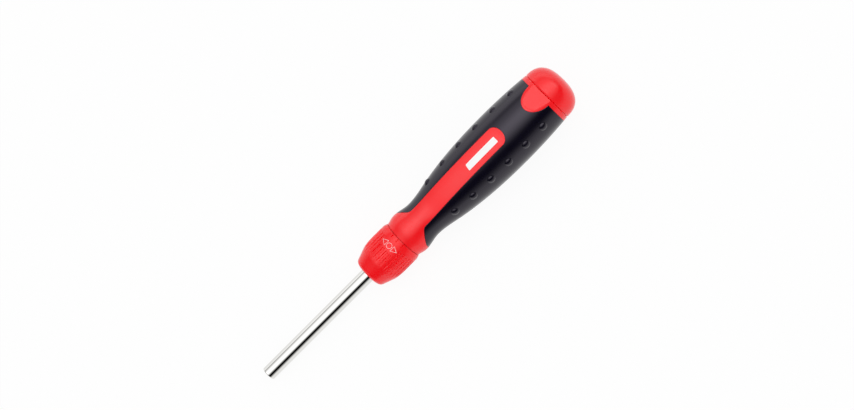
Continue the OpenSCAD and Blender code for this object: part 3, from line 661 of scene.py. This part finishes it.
def core_piece(h, g):
    """The red core: its outside, the front socket and the bit store."""
    x, angle, skin_r = core_skin(h, g, Places(h, g))
    degrees = np.linspace(18, 90, 5)
    front_x, front_cut = edge_round(CORE_X, h.edge_r, degrees[::-1], side=-1)
    back_x, back_cut = edge_round(CORE_END_X, h.tail_edge_r, degrees)
    socket_end, boss_x = CORE_X + h.socket_l, CORE_X - h.boss_l
    relief_end, store_x = CORE_END_X - h.mouth_l, STORE_X - h.edge_r
    front = np.array([
        (socket_end, 0), (socket_end, h.socket_r), (CORE_X, h.socket_r), (CORE_X, h.boss_bore_r),
        (boss_x, h.boss_bore_r), (boss_x, h.boss_r), (CORE_X, h.boss_r)])
    back = np.array([
        (CORE_END_X, h.store_r + h.edge_r), (CORE_END_X - h.edge_r, h.store_r), (relief_end, h.store_r),
        (relief_end, h.relief_r), (store_x, h.relief_r), (store_x, 0)])
    wide = angle.shape[1]
    angle = np.pad(angle, ((len(front) + len(front_x), len(back_x) + len(back)), (0, 0)), mode="edge")
    radius = np.concatenate([
        np.repeat(front[:, 1:], wide, 1), skin_r[:1] - front_cut[:, None], skin_r,
        skin_r[-1:] - back_cut[:, None], np.repeat(back[:, 1:], wide, 1)])
    mirrored = math.pi - angle[:, ::-1]
    angle = np.concatenate([angle, mirrored, math.pi + angle, math.pi + mirrored], axis=1)
    radius = np.concatenate([radius, radius[:, ::-1]] * 2, axis=1)
    x = np.concatenate([front[:, 0], front_x, x, back_x, back[:, 0]])
    return lofted("handle_skin", x, angle, radius, sharp=50)


# The selector

def ring_radius(s, x):
    """Radius of the selector's outline at each station, without its grooves."""
    cone_end = RING_X + s.cone_l
    corner_x, corner_r = RING_X + s.front_round, s.face_r
    to_cone = np.array([cone_end - corner_x, s.cone_r - corner_r])
    touch = math.atan2(to_cone[1], to_cone[0]) + math.acos(s.front_round / np.hypot(*to_cone))
    touch_x = corner_x + s.front_round * math.cos(touch)
    touch_r = corner_r + s.front_round * math.sin(touch)
    knots = [
        (cone_end, s.cone_r, s.cone_slope), (RING_END_X - s.crown, s.top_r, 0),
        (RING_END_X, s.rear_r, s.rear_slope)]
    arc = corner_r + np.sqrt(np.maximum(s.front_round ** 2 - (x - corner_x) ** 2, 0))
    cone = touch_r + (s.cone_r - touch_r) * (x - touch_x) / (cone_end - touch_x)
    return np.select([x <= touch_x, x <= cone_end], [arc, cone], through_knots(knots, x))


def ring_columns(s):
    """Angles of the selector's columns: close together at the walls of the grooves and the ticks."""
    wall_reach, wall_steps, tick_steps = 0.6, 8, 4
    pitch = 2 * math.pi / s.groove_count
    wall = s.groove_w / 2 + s.groove_soft * np.linspace(-wall_reach, wall_reach, wall_steps + 1)
    offsets = np.concatenate([[0, wall[0] / 2], wall, [pitch * s.top_r / 2]]) / s.top_r
    side = np.unique(np.concatenate([-offsets[:-1], offsets]))
    angles = [(i + 0.5) * pitch + side for i in range(s.groove_count)]
    fine = np.arange(-tick_steps, tick_steps + 1) * s.tick_w / (tick_steps * s.top_r)
    angles += [s.tick_angle + k * s.tick_pitch + fine for k in TICKS]
    return tidy_stations([a % (2 * math.pi) for a in angles], 20 * MICRON / s.top_r)


def ring_drop(s, x, angle):
    """Depth of the grooves and ticks at points of the selector."""
    short_beside = 2
    pitch = 2 * math.pi / s.groove_count
    index = np.floor(angle / pitch)
    off = (angle - (index + 0.5) * pitch) * s.top_r
    short = np.minimum(index, s.groove_count - 1 - index) < short_beside
    end = RING_END_X - np.where(short, s.short_end, s.groove_end)
    outside = np.maximum(np.abs(off) - s.groove_w / 2, x - end)
    wall = smooth(0.5 - outside / s.groove_soft)
    drop = wall * np.maximum(ring_radius(s, x) - (s.top_r - s.groove_depth), 0)
    along = np.maximum(RING_END_X - s.tick_start - x, x - RING_END_X + s.tick_end)
    for k in TICKS:
        turn_off = (angle - s.tick_angle - k * s.tick_pitch + math.pi) % (2 * math.pi) - math.pi
        away = np.hypot(turn_off * s.top_r, np.maximum(along, 0))
        drop = drop + s.tick_depth * smooth(1.5 - 2 * away / s.tick_w)
    return drop


def ring_piece(s):
    """The selector ring with its grooves and ticks."""
    coarse, fine, front_rows = 0.7 * MM, 0.15 * MM, 10
    ends = [RING_END_X - e for e in (s.groove_end, s.short_end)]
    body = tidy_stations(
        [crowded(RING_X, s.front_round, front_rows),
         spaced(RING_X + s.front_round, RING_END_X - s.edge_r, coarse),
         spaced(RING_END_X - s.tick_start - s.tick_w, RING_END_X - s.tick_end + s.tick_w, fine)]
        + [spaced(e - s.groove_soft, e + s.groove_soft, s.groove_soft / 4) for e in ends], 20 * MICRON)
    angle = ring_columns(s)
    skin_r = ring_radius(s, body)[:, None] - ring_drop(s, body[:, None], angle)
    edge_x, edge_cut = edge_round(RING_END_X, s.edge_r, np.linspace(15, 90, 6))
    wall_x = RING_X + s.wall
    bore_x = wall_x + s.nose_l
    relief, relief_end = RING_X + s.relief_start, RING_END_X - s.relief_end
    inner = np.array([
        (RING_END_X, s.bore_r), (relief_end, s.bore_r), (relief_end, s.relief_r), (relief, s.relief_r),
        (relief, s.bore_r), (bore_x, s.bore_r), (bore_x, s.nose_r), (wall_x, s.nose_r), (wall_x, s.hole_r),
        (RING_X + s.edge_r, s.hole_r), (RING_X, s.hole_r + s.edge_r), (RING_X, s.face_r)])
    radius = np.concatenate([
        skin_r, skin_r[-1:] - edge_cut[:, None], np.repeat(inner[:, 1:], len(angle), 1)])
    return lofted("selector_skin", np.concatenate([body, edge_x, inner[:, 0]]), angle, radius, sharp=50)


# Prints

def film_piece(name, patches, surface, film, wrap):
    """A thin print of patches, each of rows of (along, across) places, laid on a surface."""
    points, faces = [], []
    for patch in patches:
        base, rows, columns = len(points), len(patch), len(patch[0])
        points += [surface(a, c, lift) for lift in (film, -film) for row in patch for a, c in row]
        edges = row_edges(columns, 0, wrap) + row_edges(columns, rows - 1, wrap)
        if not wrap:
            edges += side_edges(columns, range(rows - 1))
        faces += [[base + i for i in face] for face in shell_faces(rows, columns, edges, wrap)]
    return clean_mesh(name, points, faces, sharp=30)


def circle_line(radius, steps=48):
    """Outline of a circle."""
    return [(radius * math.cos(v), radius * math.sin(v)) for v in full_turn(steps)]


def arrow_line(t, inset, side, steps=10):
    """Outline of a sign's triangle that points across the tool to a side, moved inwards by an inset."""
    slope = t.arrow_half / (t.arrow_tip - t.arrow_base)
    low = t.arrow_base + inset
    high = t.arrow_tip - inset * math.hypot(1, slope) / slope
    wide = slope * (high - low)
    corners = [(-wide, low), (wide, low), (0, high)]
    line = []
    for a, b in zip(corners, corners[1:] + corners[:1]):
        line += [(a[0] + (b[0] - a[0]) * i / steps, side * (a[1] + (b[1] - a[1]) * i / steps))
                 for i in range(steps)]
    return line


def sign_piece(s, t):
    """The selector's sign: an outlined circle between two outlined arrows."""
    middle = RING_END_X - t.sign_at

    def surface(along, across, lift):
        x = middle + along
        radius = ring_radius(s, x)
        return round_points(x, across / radius, radius + lift)[0]

    patches = [[circle_line(t.circle_r - t.stroke), circle_line(t.circle_r)]]
    patches += [[arrow_line(t, inset, side) for inset in (t.stroke, 0)] for side in (1, -1)]
    return film_piece("selector_sign", patches, surface, t.film, wrap=True)


def panel_piece(h, g, t):
    """The blank name panel on the upper strip."""
    step, corner_rows, columns = 0.8 * MM, 6, 9
    p = Places(h, g)
    middle = CORE_X + t.panel_at
    half_l, half_w = t.panel_l / 2, t.panel_w / 2
    slant = math.tan(t.panel_slant) / t.panel_l

    def surface(along, across, lift):
        x = middle + along + slant * across * (half_l - along)
        radius = handle_radius(h, x)
        angle = (t.panel_side + across) / radius
        return round_points(x, angle, radius - strip_drop(h, g, p, x, angle, radius) + lift)[0]

    ends = [crowded(side * half_l, -side * t.panel_round, corner_rows) for side in (-1, 1)]
    along = tidy_stations([spaced(-half_l, half_l, step)] + ends, MICRON)
    into = np.maximum(np.abs(along) - half_l + t.panel_round, 0)
    wide = half_w - t.panel_round + np.sqrt(np.maximum(t.panel_round ** 2 - into ** 2, 0))
    patch = [[(a, w * c) for c in np.linspace(-1, 1, columns)] for a, w in zip(along, wide)]
    return film_piece("name_panel", [patch], surface, t.film, wrap=False)


# The shaft and the cap

def shaft_piece(s):
    """The shaft with its hex socket."""
    columns, rows_along, round_degrees = 96, 20, [20, 45, 70, 90]
    angle = full_turn(columns)
    sixth = math.pi / 3
    flat = s.socket_af / 2 / np.cos((angle % sixth) - sixth / 2)
    shoulder = RING_X - s.shoulder_gap
    tail = shoulder + s.journal_l
    lead = s.socket_lead
    rows = [
        (MAGNET_X, 0), (MAGNET_X, s.magnet_r), (MAGNET_X, flat), (TIP_X + lead, flat), (TIP_X, flat + lead),
        (TIP_X, s.radius - s.chamfer)]
    rows += [(TIP_X + s.chamfer * (1 - math.cos(v)), s.radius - s.chamfer * (1 - math.sin(v)))
             for v in np.radians(round_degrees)]
    rows += [(v, s.radius) for v in np.linspace(TIP_X + 2 * s.chamfer, shoulder - lead, rows_along)]
    rows += [
        (shoulder, s.radius - lead), (shoulder, s.journal_r), (tail, s.journal_r), (tail, s.tail_r),
        (SHAFT_END_X, s.tail_r), (SHAFT_END_X, 0)]
    radius = np.stack([np.broadcast_to(r, angle.shape) for _, r in rows])
    return lofted("shaft_skin", [v for v, _ in rows], angle, radius, sharp=30)


def dome_line(radius, reach, fullness, steps):
    """Points (station, radius) of a dome over the cap's front, from its rim to its pole."""
    a = np.linspace(0, RIGHT, steps + 1)
    along = CAP_X + reach * np.sin(a) ** (2 / fullness)
    return list(zip(along, radius * np.maximum(np.cos(a), 0) ** (2 / fullness)))


def cap_piece(c):
    """The end cap: dome, bevelled lip, hollow and screw boss."""
    columns, outer_steps, inner_steps = 160, 64, 24
    reach, front, lip_x = CAP_END_X - CAP_X, CAP_X - c.reach, CAP_X + c.lip
    outer = [(front, c.radius - c.bevel), (lip_x, c.radius)]
    outer += [q for q in dome_line(c.radius, reach, c.fullness, outer_steps) if q[0] > lip_x]
    inner = [(front, c.bore_r)]
    hollow = dome_line(c.bore_r, reach - c.wall, c.fullness, inner_steps)
    inner += [q for q in hollow if q[1] > c.boss_r]
    boss = [
        (inner[-1][0], c.boss_r), (WASHER_END_X, c.boss_r), (WASHER_END_X, c.screw_r),
        (SCREW_END_X, c.screw_r), (SCREW_END_X, 0)]
    profile = np.array(outer + boss[::-1] + inner[::-1] + outer[:1])
    return lofted("cap_skin", profile[:, 0], full_turn(columns), profile[:, 1:], sharp=50)


# Finishes

# Noises of the shared effects: (scale input, its default, output, detail, roughness, along the tool only)
EFFECTS = {
    "Moulded Grain": [
        ("Grain Scale", 2600, "Height", 3, 0.62, False), ("Drift Scale", 60, "Drift", 2, 0.5, False)],
    "Turned Lines": [
        ("Line Scale", 3000, "Height", 2, 0.5, True), ("Drift Scale", 40, "Drift", 2, 0.5, False)],
}
# Kinds of finish: (shared effect, metallic, darkest shade of the colour, strength of the shading)
MOULDED = ("Moulded Grain", 0.0, 0.85, 0.25)
METAL = ("Turned Lines", 1.0, 0.9, 0.4)
SPECULAR = "Specular IOR Level"
# Spread of the slow noise that takes the colour and the gloss from one end of their range to the other
COLOUR_SPREAD = (0.35, 0.65)
GLOSS_SPREAD = (0.3, 0.7)
# Sockets of a mix node that carry its two colours and their mix
COLOUR_A, COLOUR_B, COLOUR_OUT = 6, 7, 2


def shared_effect(name, noises):
    """A shader node group of noises: a fine one for the relief, and a slow drift for gloss and colour."""
    group = bpy.data.node_groups.new(name, "ShaderNodeTree")
    for label, default, *_ in noises:
        socket = group.interface.new_socket(label, in_out="INPUT", socket_type="NodeSocketFloat")
        socket.default_value = default
    for _, _, result, *_ in noises:
        group.interface.new_socket(result, in_out="OUTPUT", socket_type="NodeSocketFloat")
    given = group.nodes.new("NodeGroupInput")
    out = group.nodes.new("NodeGroupOutput")
    where = group.nodes.new("ShaderNodeTexCoord")
    for label, _, result, detail, roughness, along in noises:
        noise = group.nodes.new("ShaderNodeTexNoise")
        noise.noise_dimensions = "1D" if along else "3D"
        noise.inputs["Detail"].default_value = detail
        noise.inputs["Roughness"].default_value = roughness
        if along:
            split = group.nodes.new("ShaderNodeSeparateXYZ")
            group.links.new(where.outputs["Object"], split.inputs["Vector"])
            group.links.new(split.outputs["X"], noise.inputs["W"])
        else:
            group.links.new(where.outputs["Object"], noise.inputs["Vector"])
        group.links.new(given.outputs[label], noise.inputs["Scale"])
        group.links.new(noise.outputs["Fac"], out.inputs[result])


def plain_material(name, base, constants):
    """A material of one shader with constant inputs, and that shader."""
    material = bpy.data.materials.new(name)
    material.use_nodes = True
    shader = material.node_tree.nodes["Principled BSDF"]
    shader.inputs["Base Color"].default_value = (*base, 1)
    for label, value in constants.items():
        shader.inputs[label].default_value = value
    return material, shader


def map_range(tree, value, start, end, low=0, high=1):
    """A value that runs from low to high as another runs from start to end."""
    node = tree.nodes.new("ShaderNodeMapRange")
    for label, number in (("From Min", start), ("From Max", end), ("To Min", low), ("To Max", high)):
        node.inputs[label].default_value = number
    tree.links.new(value, node.inputs["Value"])
    return node.outputs["Result"]


def finish(name, kind, base, scale, rough, strength, depth, constants=None):
    """A material with the shared effect of its kind, uneven colour and gloss, and a relief in microns."""
    effect, metallic, shade, shading = kind
    material, shader = plain_material(name, base, {"Metallic": metallic, **(constants or {})})
    tree = material.node_tree
    group = tree.nodes.new("ShaderNodeGroup")
    group.node_tree = bpy.data.node_groups[effect]
    group.inputs[0].default_value = scale
    drift = group.outputs["Drift"]
    mix = tree.nodes.new("ShaderNodeMix")
    mix.data_type = "RGBA"
    mix.blend_type = "MULTIPLY"
    mix.inputs["Factor"].default_value = shading
    mix.inputs[COLOUR_A].default_value = (*base, 1)
    bump = tree.nodes.new("ShaderNodeBump")
    bump.inputs["Strength"].default_value = strength
    bump.inputs["Distance"].default_value = depth * MICRON
    tree.links.new(map_range(tree, drift, *COLOUR_SPREAD, shade, 1), mix.inputs[COLOUR_B])
    tree.links.new(mix.outputs[COLOUR_OUT], shader.inputs["Base Color"])
    tree.links.new(map_range(tree, drift, *GLOSS_SPREAD, *rough), shader.inputs["Roughness"])
    tree.links.new(group.outputs["Height"], bump.inputs["Height"])
    tree.links.new(bump.outputs["Normal"], shader.inputs["Normal"])
    return material


# The stage

def view_axes(stage):
    """Directions of the picture: along the tool, to its upper left, and towards the camera."""
    along = Vector((1, 0, 0))
    toward = Vector((0, -math.sin(stage.roll), math.cos(stage.roll)))
    return along, toward.cross(along), toward


def view_target(stage):
    """Place in the middle of the picture."""
    along, left, _ = view_axes(stage)
    return along * stage.centre_x + left * stage.centre_side


def add_camera(stage):
    """The camera, over the handle's rear and turned to the picture's middle."""
    along, _, toward = view_axes(stage)
    spot = along * stage.camera_x + toward * stage.distance
    line = spot - view_target(stage)
    back = line.normalized()
    seen_along = (along - back * along.dot(back)).normalized()
    seen_left = back.cross(seen_along)
    right = seen_along * math.cos(stage.slant) - seen_left * math.sin(stage.slant)
    up = seen_along * math.sin(stage.slant) + seen_left * math.cos(stage.slant)
    lens = bpy.data.cameras.new("camera")
    lens.sensor_width = stage.sensor_w / MM
    lens.lens = lens.sensor_width * line.length / stage.view_w
    lens.clip_end = 2 * stage.floor_size
    camera = add_object("camera", lens)
    camera.matrix_world = Matrix.Translation(spot) @ Matrix((right, up, back)).transposed().to_4x4()
    bpy.context.scene.camera = camera


def add_key(stage):
    """The soft key light, which reflections don't show."""
    along, left, toward = view_axes(stage)
    aim = toward * math.cos(stage.key_turn) + left * math.sin(stage.key_turn)
    aim = aim * math.cos(stage.key_lean) + along * math.sin(stage.key_lean)
    lamp = bpy.data.lights.new("key", "AREA")
    lamp.size = stage.key_size
    lamp.energy = stage.key_power
    key = add_object("key", lamp)
    key.location = view_target(stage) + aim * stage.key_distance
    key.rotation_euler = aim.to_track_quat("Z", "Y").to_euler()
    key.visible_glossy = False


def angle_ramp(tree, angle, half_range, stops):
    """A ramp over an angle in radians, from stops of (degrees, brightness)."""
    ramp = tree.nodes.new("ShaderNodeValToRGB")
    tree.links.new(map_range(tree, angle, -half_range, half_range), ramp.inputs["Fac"])
    elements = ramp.color_ramp.elements
    for _ in stops[2:]:
        elements.new(0.5)
    for element, (degrees, level) in zip(elements, stops):
        element.position = (math.radians(degrees) / half_range + 1) / 2
        element.color = (level, level, level, 1)
    return ramp.outputs["Color"]


def math_node(tree, operation, *values):
    """A math node whose inputs are each a socket or a number."""
    node = tree.nodes.new("ShaderNodeMath")
    node.operation = operation
    for socket, value in zip(node.inputs, values):
        if isinstance(value, bpy.types.NodeSocket):
            tree.links.new(value, socket)
        else:
            socket.default_value = value
    return node.outputs[0]


def add_world(stage):
    """An even surround, and a striped one with a bright and a dark band that only reflections show."""
    world = bpy.data.worlds.new("Studio")
    bpy.context.scene.world = world
    world.use_nodes = True
    world.cycles.sampling_method = "NONE"
    tree = world.node_tree
    where = tree.nodes.new("ShaderNodeTexCoord")
    parts = []
    for axis in view_axes(stage):
        dot = tree.nodes.new("ShaderNodeVectorMath")
        dot.operation = "DOT_PRODUCT"
        dot.inputs[1].default_value = axis
        tree.links.new(where.outputs["Generated"], dot.inputs[0])
        parts.append(dot.outputs["Value"])
    along, left, toward = parts
    round_level = angle_ramp(tree, math_node(tree, "ARCTAN2", left, toward), math.pi, ROUND_LIGHT)
    along_level = angle_ramp(tree, math_node(tree, "ARCSINE", along), RIGHT, ALONG_LIGHT)
    stripes = math_node(tree, "MULTIPLY", round_level, along_level)
    stripes = math_node(tree, "MULTIPLY", stripes, stage.shine_level)
    path = tree.nodes.new("ShaderNodeLightPath")
    mix = tree.nodes.new("ShaderNodeMix")
    mix.inputs["A"].default_value = stage.light_level
    tree.links.new(path.outputs["Is Glossy Ray"], mix.inputs["Factor"])
    tree.links.new(stripes, mix.inputs["B"])
    tree.links.new(mix.outputs["Result"], tree.nodes["Background"].inputs["Color"])


def mix_shader(tree, factor, first, second):
    """A mix of two shaders by a factor, all given as sockets."""
    node = tree.nodes.new("ShaderNodeMixShader")
    for socket, value in zip(node.inputs, (factor, first, second)):
        tree.links.new(value, socket)
    return node.outputs["Shader"]


def paper_material(stage):
    """White paper that stays nearly white in the object's shadow, and is clear from below."""
    material, shader = plain_material("Paper", [stage.floor_white] * 3, {SPECULAR: 0.0, "Roughness": 0.9})
    tree = material.node_tree
    path = tree.nodes.new("ShaderNodeLightPath")
    side = tree.nodes.new("ShaderNodeNewGeometry")
    glow = tree.nodes.new("ShaderNodeEmission")
    clear = tree.nodes.new("ShaderNodeBsdfTransparent")
    seen = math_node(tree, "MAXIMUM", path.outputs["Is Camera Ray"], path.outputs["Is Glossy Ray"])
    seen = math_node(tree, "MAXIMUM", seen, path.outputs["Is Transmission Ray"])
    seen = math_node(tree, "MULTIPLY", seen, stage.floor_glow)
    above = mix_shader(tree, seen, shader.outputs["BSDF"], glow.outputs["Emission"])
    both = mix_shader(tree, side.outputs["Backfacing"], above, clear.outputs["BSDF"])
    tree.links.new(both, tree.nodes["Material Output"].inputs["Surface"])
    return material


def add_floor(stage, ring, handle):
    """A floor that touches the handle and the selector, as a table does."""
    step, gap = 0.5 * MM, 0.05 * MM
    front = Vector((RING_END_X - ring.crown, 0, -ring.top_r))
    x = spaced(CORE_X, CORE_END_X, step)
    radius = handle_radius(handle, x)
    touch = np.argmax((radius - ring.top_r) / (x - front.x))
    back = Vector((x[touch], 0, -radius[touch]))
    half = stage.floor_size / 2
    along = (back - front).normalized() * half
    across = Vector((0, half, 0))
    middle = (front + back) / 2 - Vector((0, 0, gap))
    mesh = bpy.data.meshes.new("floor")
    corners = [middle + along * i + across * j for i, j in ((-1, -1), (1, -1), (1, 1), (-1, 1))]
    mesh.from_pydata(corners, [], [(0, 1, 2, 3)])
    mesh.materials.append(paper_material(stage))
    floor = add_object("floor", mesh)


# Operators

class SCREWDRIVER_OT_finishes(Operator):
    """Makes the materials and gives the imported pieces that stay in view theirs"""

    bl_idname = "screwdriver.finishes"
    bl_label = "Finishes"

    def execute(self, context):
        c = context.scene.driver_colours
        for name, noises in EFFECTS.items():
            shared_effect(name, noises)
        shine = {"Specular Tint": (*c.black_shine, 1)}
        # Name, kind, colour, scale of the effect, roughness, strength and depth of the relief in microns
        slots = {
            "red_plastic": finish(
                "Red Plastic", MOULDED, c.red, 3000, (0.2, 0.26), 0.2, 8, {SPECULAR: 0.56}),
            "red_ring": finish("Ring Plastic", MOULDED, c.ring_red, 3000, (0.2, 0.26), 0.2, 8),
            "black_rubber": finish("Black Rubber", MOULDED, c.black, 2200, (0.18, 0.24), 0.3, 20, shine),
            "black_plastic": finish("Store Plastic", MOULDED, c.store_black, 2600, (0.34, 0.44), 0.25, 15),
            "o_ring_rubber": finish("Seal Rubber", MOULDED, c.seal, 3200, (0.3, 0.4), 0.2, 10),
            "chrome_shaft": finish("Chrome", METAL, c.chrome, 1500, (0.02, 0.04), 0.05, 1),
            "bright_steel": finish("Machined Steel", METAL, c.steel, 2500, (0.22, 0.34), 0.4, 6),
            "spring_steel": finish("Spring Steel", METAL, c.spring, 2500, (0.25, 0.36), 0.2, 5),
            "bit_steel": finish("Bit Steel", METAL, c.bit_grey, 3500, (0.38, 0.5), 0.4, 8),
            "magnet": finish("Magnet Nickel", METAL, c.magnet, 2500, (0.2, 0.3), 0.2, 4),
            "bronze": finish("Sintered Bronze", METAL, c.bronze, 2500, (0.35, 0.48), 0.3, 8),
            "cast_zinc": finish("Cast Zinc", METAL, c.zinc, 1800, (0.38, 0.5), 0.3, 9),
        }
        finish("Print White", MOULDED, c.print_white, 3000, (0.4, 0.48), 0.1, 5, {SPECULAR: 0.3})
        by_node = {part["node"]: part["material_slot"] for part in frame["record"]["subparts"]}
        for node, piece in frame["nodes"].items():
            for holder in piece.material_slots:
                holder.material = slots[by_node[node]]
        return {"FINISHED"}


class SCREWDRIVER_OT_handle(Operator):
    """Builds the red core of the handle"""

    bl_idname = "screwdriver.handle"
    bl_label = "Handle Core"

    def execute(self, context):
        scene = context.scene
        piece = core_piece(scene.driver_handle, scene.driver_grip)
        place(piece, "handle", "red_plastic", "Red Plastic", "handle_core")
        return {"FINISHED"}


class SCREWDRIVER_OT_grip(Operator):
    """Builds the nubbed soft grip"""

    bl_idname = "screwdriver.grip"
    bl_label = "Soft Grip"

    def execute(self, context):
        scene = context.scene
        piece = grip_piece(scene.driver_handle, scene.driver_grip)
        place(piece, "handle", "black_rubber", "Black Rubber", "grip_sleeve")
        return {"FINISHED"}


class SCREWDRIVER_OT_selector(Operator):
    """Builds the grooved selector ring"""

    bl_idname = "screwdriver.selector"
    bl_label = "Selector Ring"

    def execute(self, context):
        piece = ring_piece(context.scene.driver_ring)
        place(piece, "selector", "red_ring", "Ring Plastic", "selector_ring")
        return {"FINISHED"}


class SCREWDRIVER_OT_prints(Operator):
    """Lays the selector's sign and the blank name panel on their pieces"""

    bl_idname = "screwdriver.prints"
    bl_label = "Prints"

    def execute(self, context):
        scene = context.scene
        sign = sign_piece(scene.driver_ring, scene.driver_print)
        place(sign, "selector", "red_ring", "Print White")
        panel = panel_piece(scene.driver_handle, scene.driver_grip, scene.driver_print)
        place(panel, "handle", "red_plastic", "Print White")
        return {"FINISHED"}


class SCREWDRIVER_OT_shaft(Operator):
    """Builds the chromed shaft"""

    bl_idname = "screwdriver.shaft"
    bl_label = "Shaft"

    def execute(self, context):
        piece = shaft_piece(context.scene.driver_shaft)
        place(piece, "shaft", "chrome_shaft", "Chrome", "shaft")
        return {"FINISHED"}


class SCREWDRIVER_OT_cap(Operator):
    """Builds the end cap"""

    bl_idname = "screwdriver.cap"
    bl_label = "End Cap"

    def execute(self, context):
        piece = cap_piece(context.scene.driver_cap)
        place(piece, "end_cap", "red_plastic", "Red Plastic", "end_cap")
        return {"FINISHED"}


class SCREWDRIVER_OT_stage(Operator):
    """Sets the floor, the light and the camera"""

    bl_idname = "screwdriver.stage"
    bl_label = "Stage"

    def execute(self, context):
        scene = context.scene
        stage = scene.driver_stage
        scene.view_settings.view_transform = "Standard"
        add_camera(stage)
        add_key(stage)
        add_world(stage)
        add_floor(stage, scene.driver_ring, scene.driver_handle)
        return {"FINISHED"}


OPERATORS = [
    SCREWDRIVER_OT_finishes, SCREWDRIVER_OT_handle, SCREWDRIVER_OT_grip, SCREWDRIVER_OT_selector,
    SCREWDRIVER_OT_prints, SCREWDRIVER_OT_shaft, SCREWDRIVER_OT_cap, SCREWDRIVER_OT_stage,
]


class SCREWDRIVER_PT_build(Panel):
    """Lists the steps that build the screwdriver"""

    bl_idname = "SCREWDRIVER_PT_build"
    bl_label = "Ratchet Screwdriver"
    bl_space_type = "VIEW_3D"
    bl_region_type = "UI"
    bl_category = "Screwdriver"

    def draw(self, context):
        for step in OPERATORS:
            self.layout.operator(step.bl_idname)


def register():
    for cls in [*GROUPS.values(), *OPERATORS, SCREWDRIVER_PT_build]:
        bpy.utils.register_class(cls)
    for name, group in GROUPS.items():
        setattr(bpy.types.Scene, name, PointerProperty(type=group))


def unregister():
    for name in GROUPS:
        delattr(bpy.types.Scene, name)
    for cls in [SCREWDRIVER_PT_build, *reversed(OPERATORS), *reversed(GROUPS.values())]:
        bpy.utils.unregister_class(cls)


def main():
    register()
    bpy.ops.screwdriver.finishes()
    bpy.ops.screwdriver.handle()
    bpy.ops.screwdriver.grip()
    bpy.ops.screwdriver.selector()
    bpy.ops.screwdriver.prints()
    bpy.ops.screwdriver.shaft()
    bpy.ops.screwdriver.cap()
    bpy.ops.screwdriver.stage()
    bpy.context.view_layer.update()


if __name__ == "__main__":
    main()
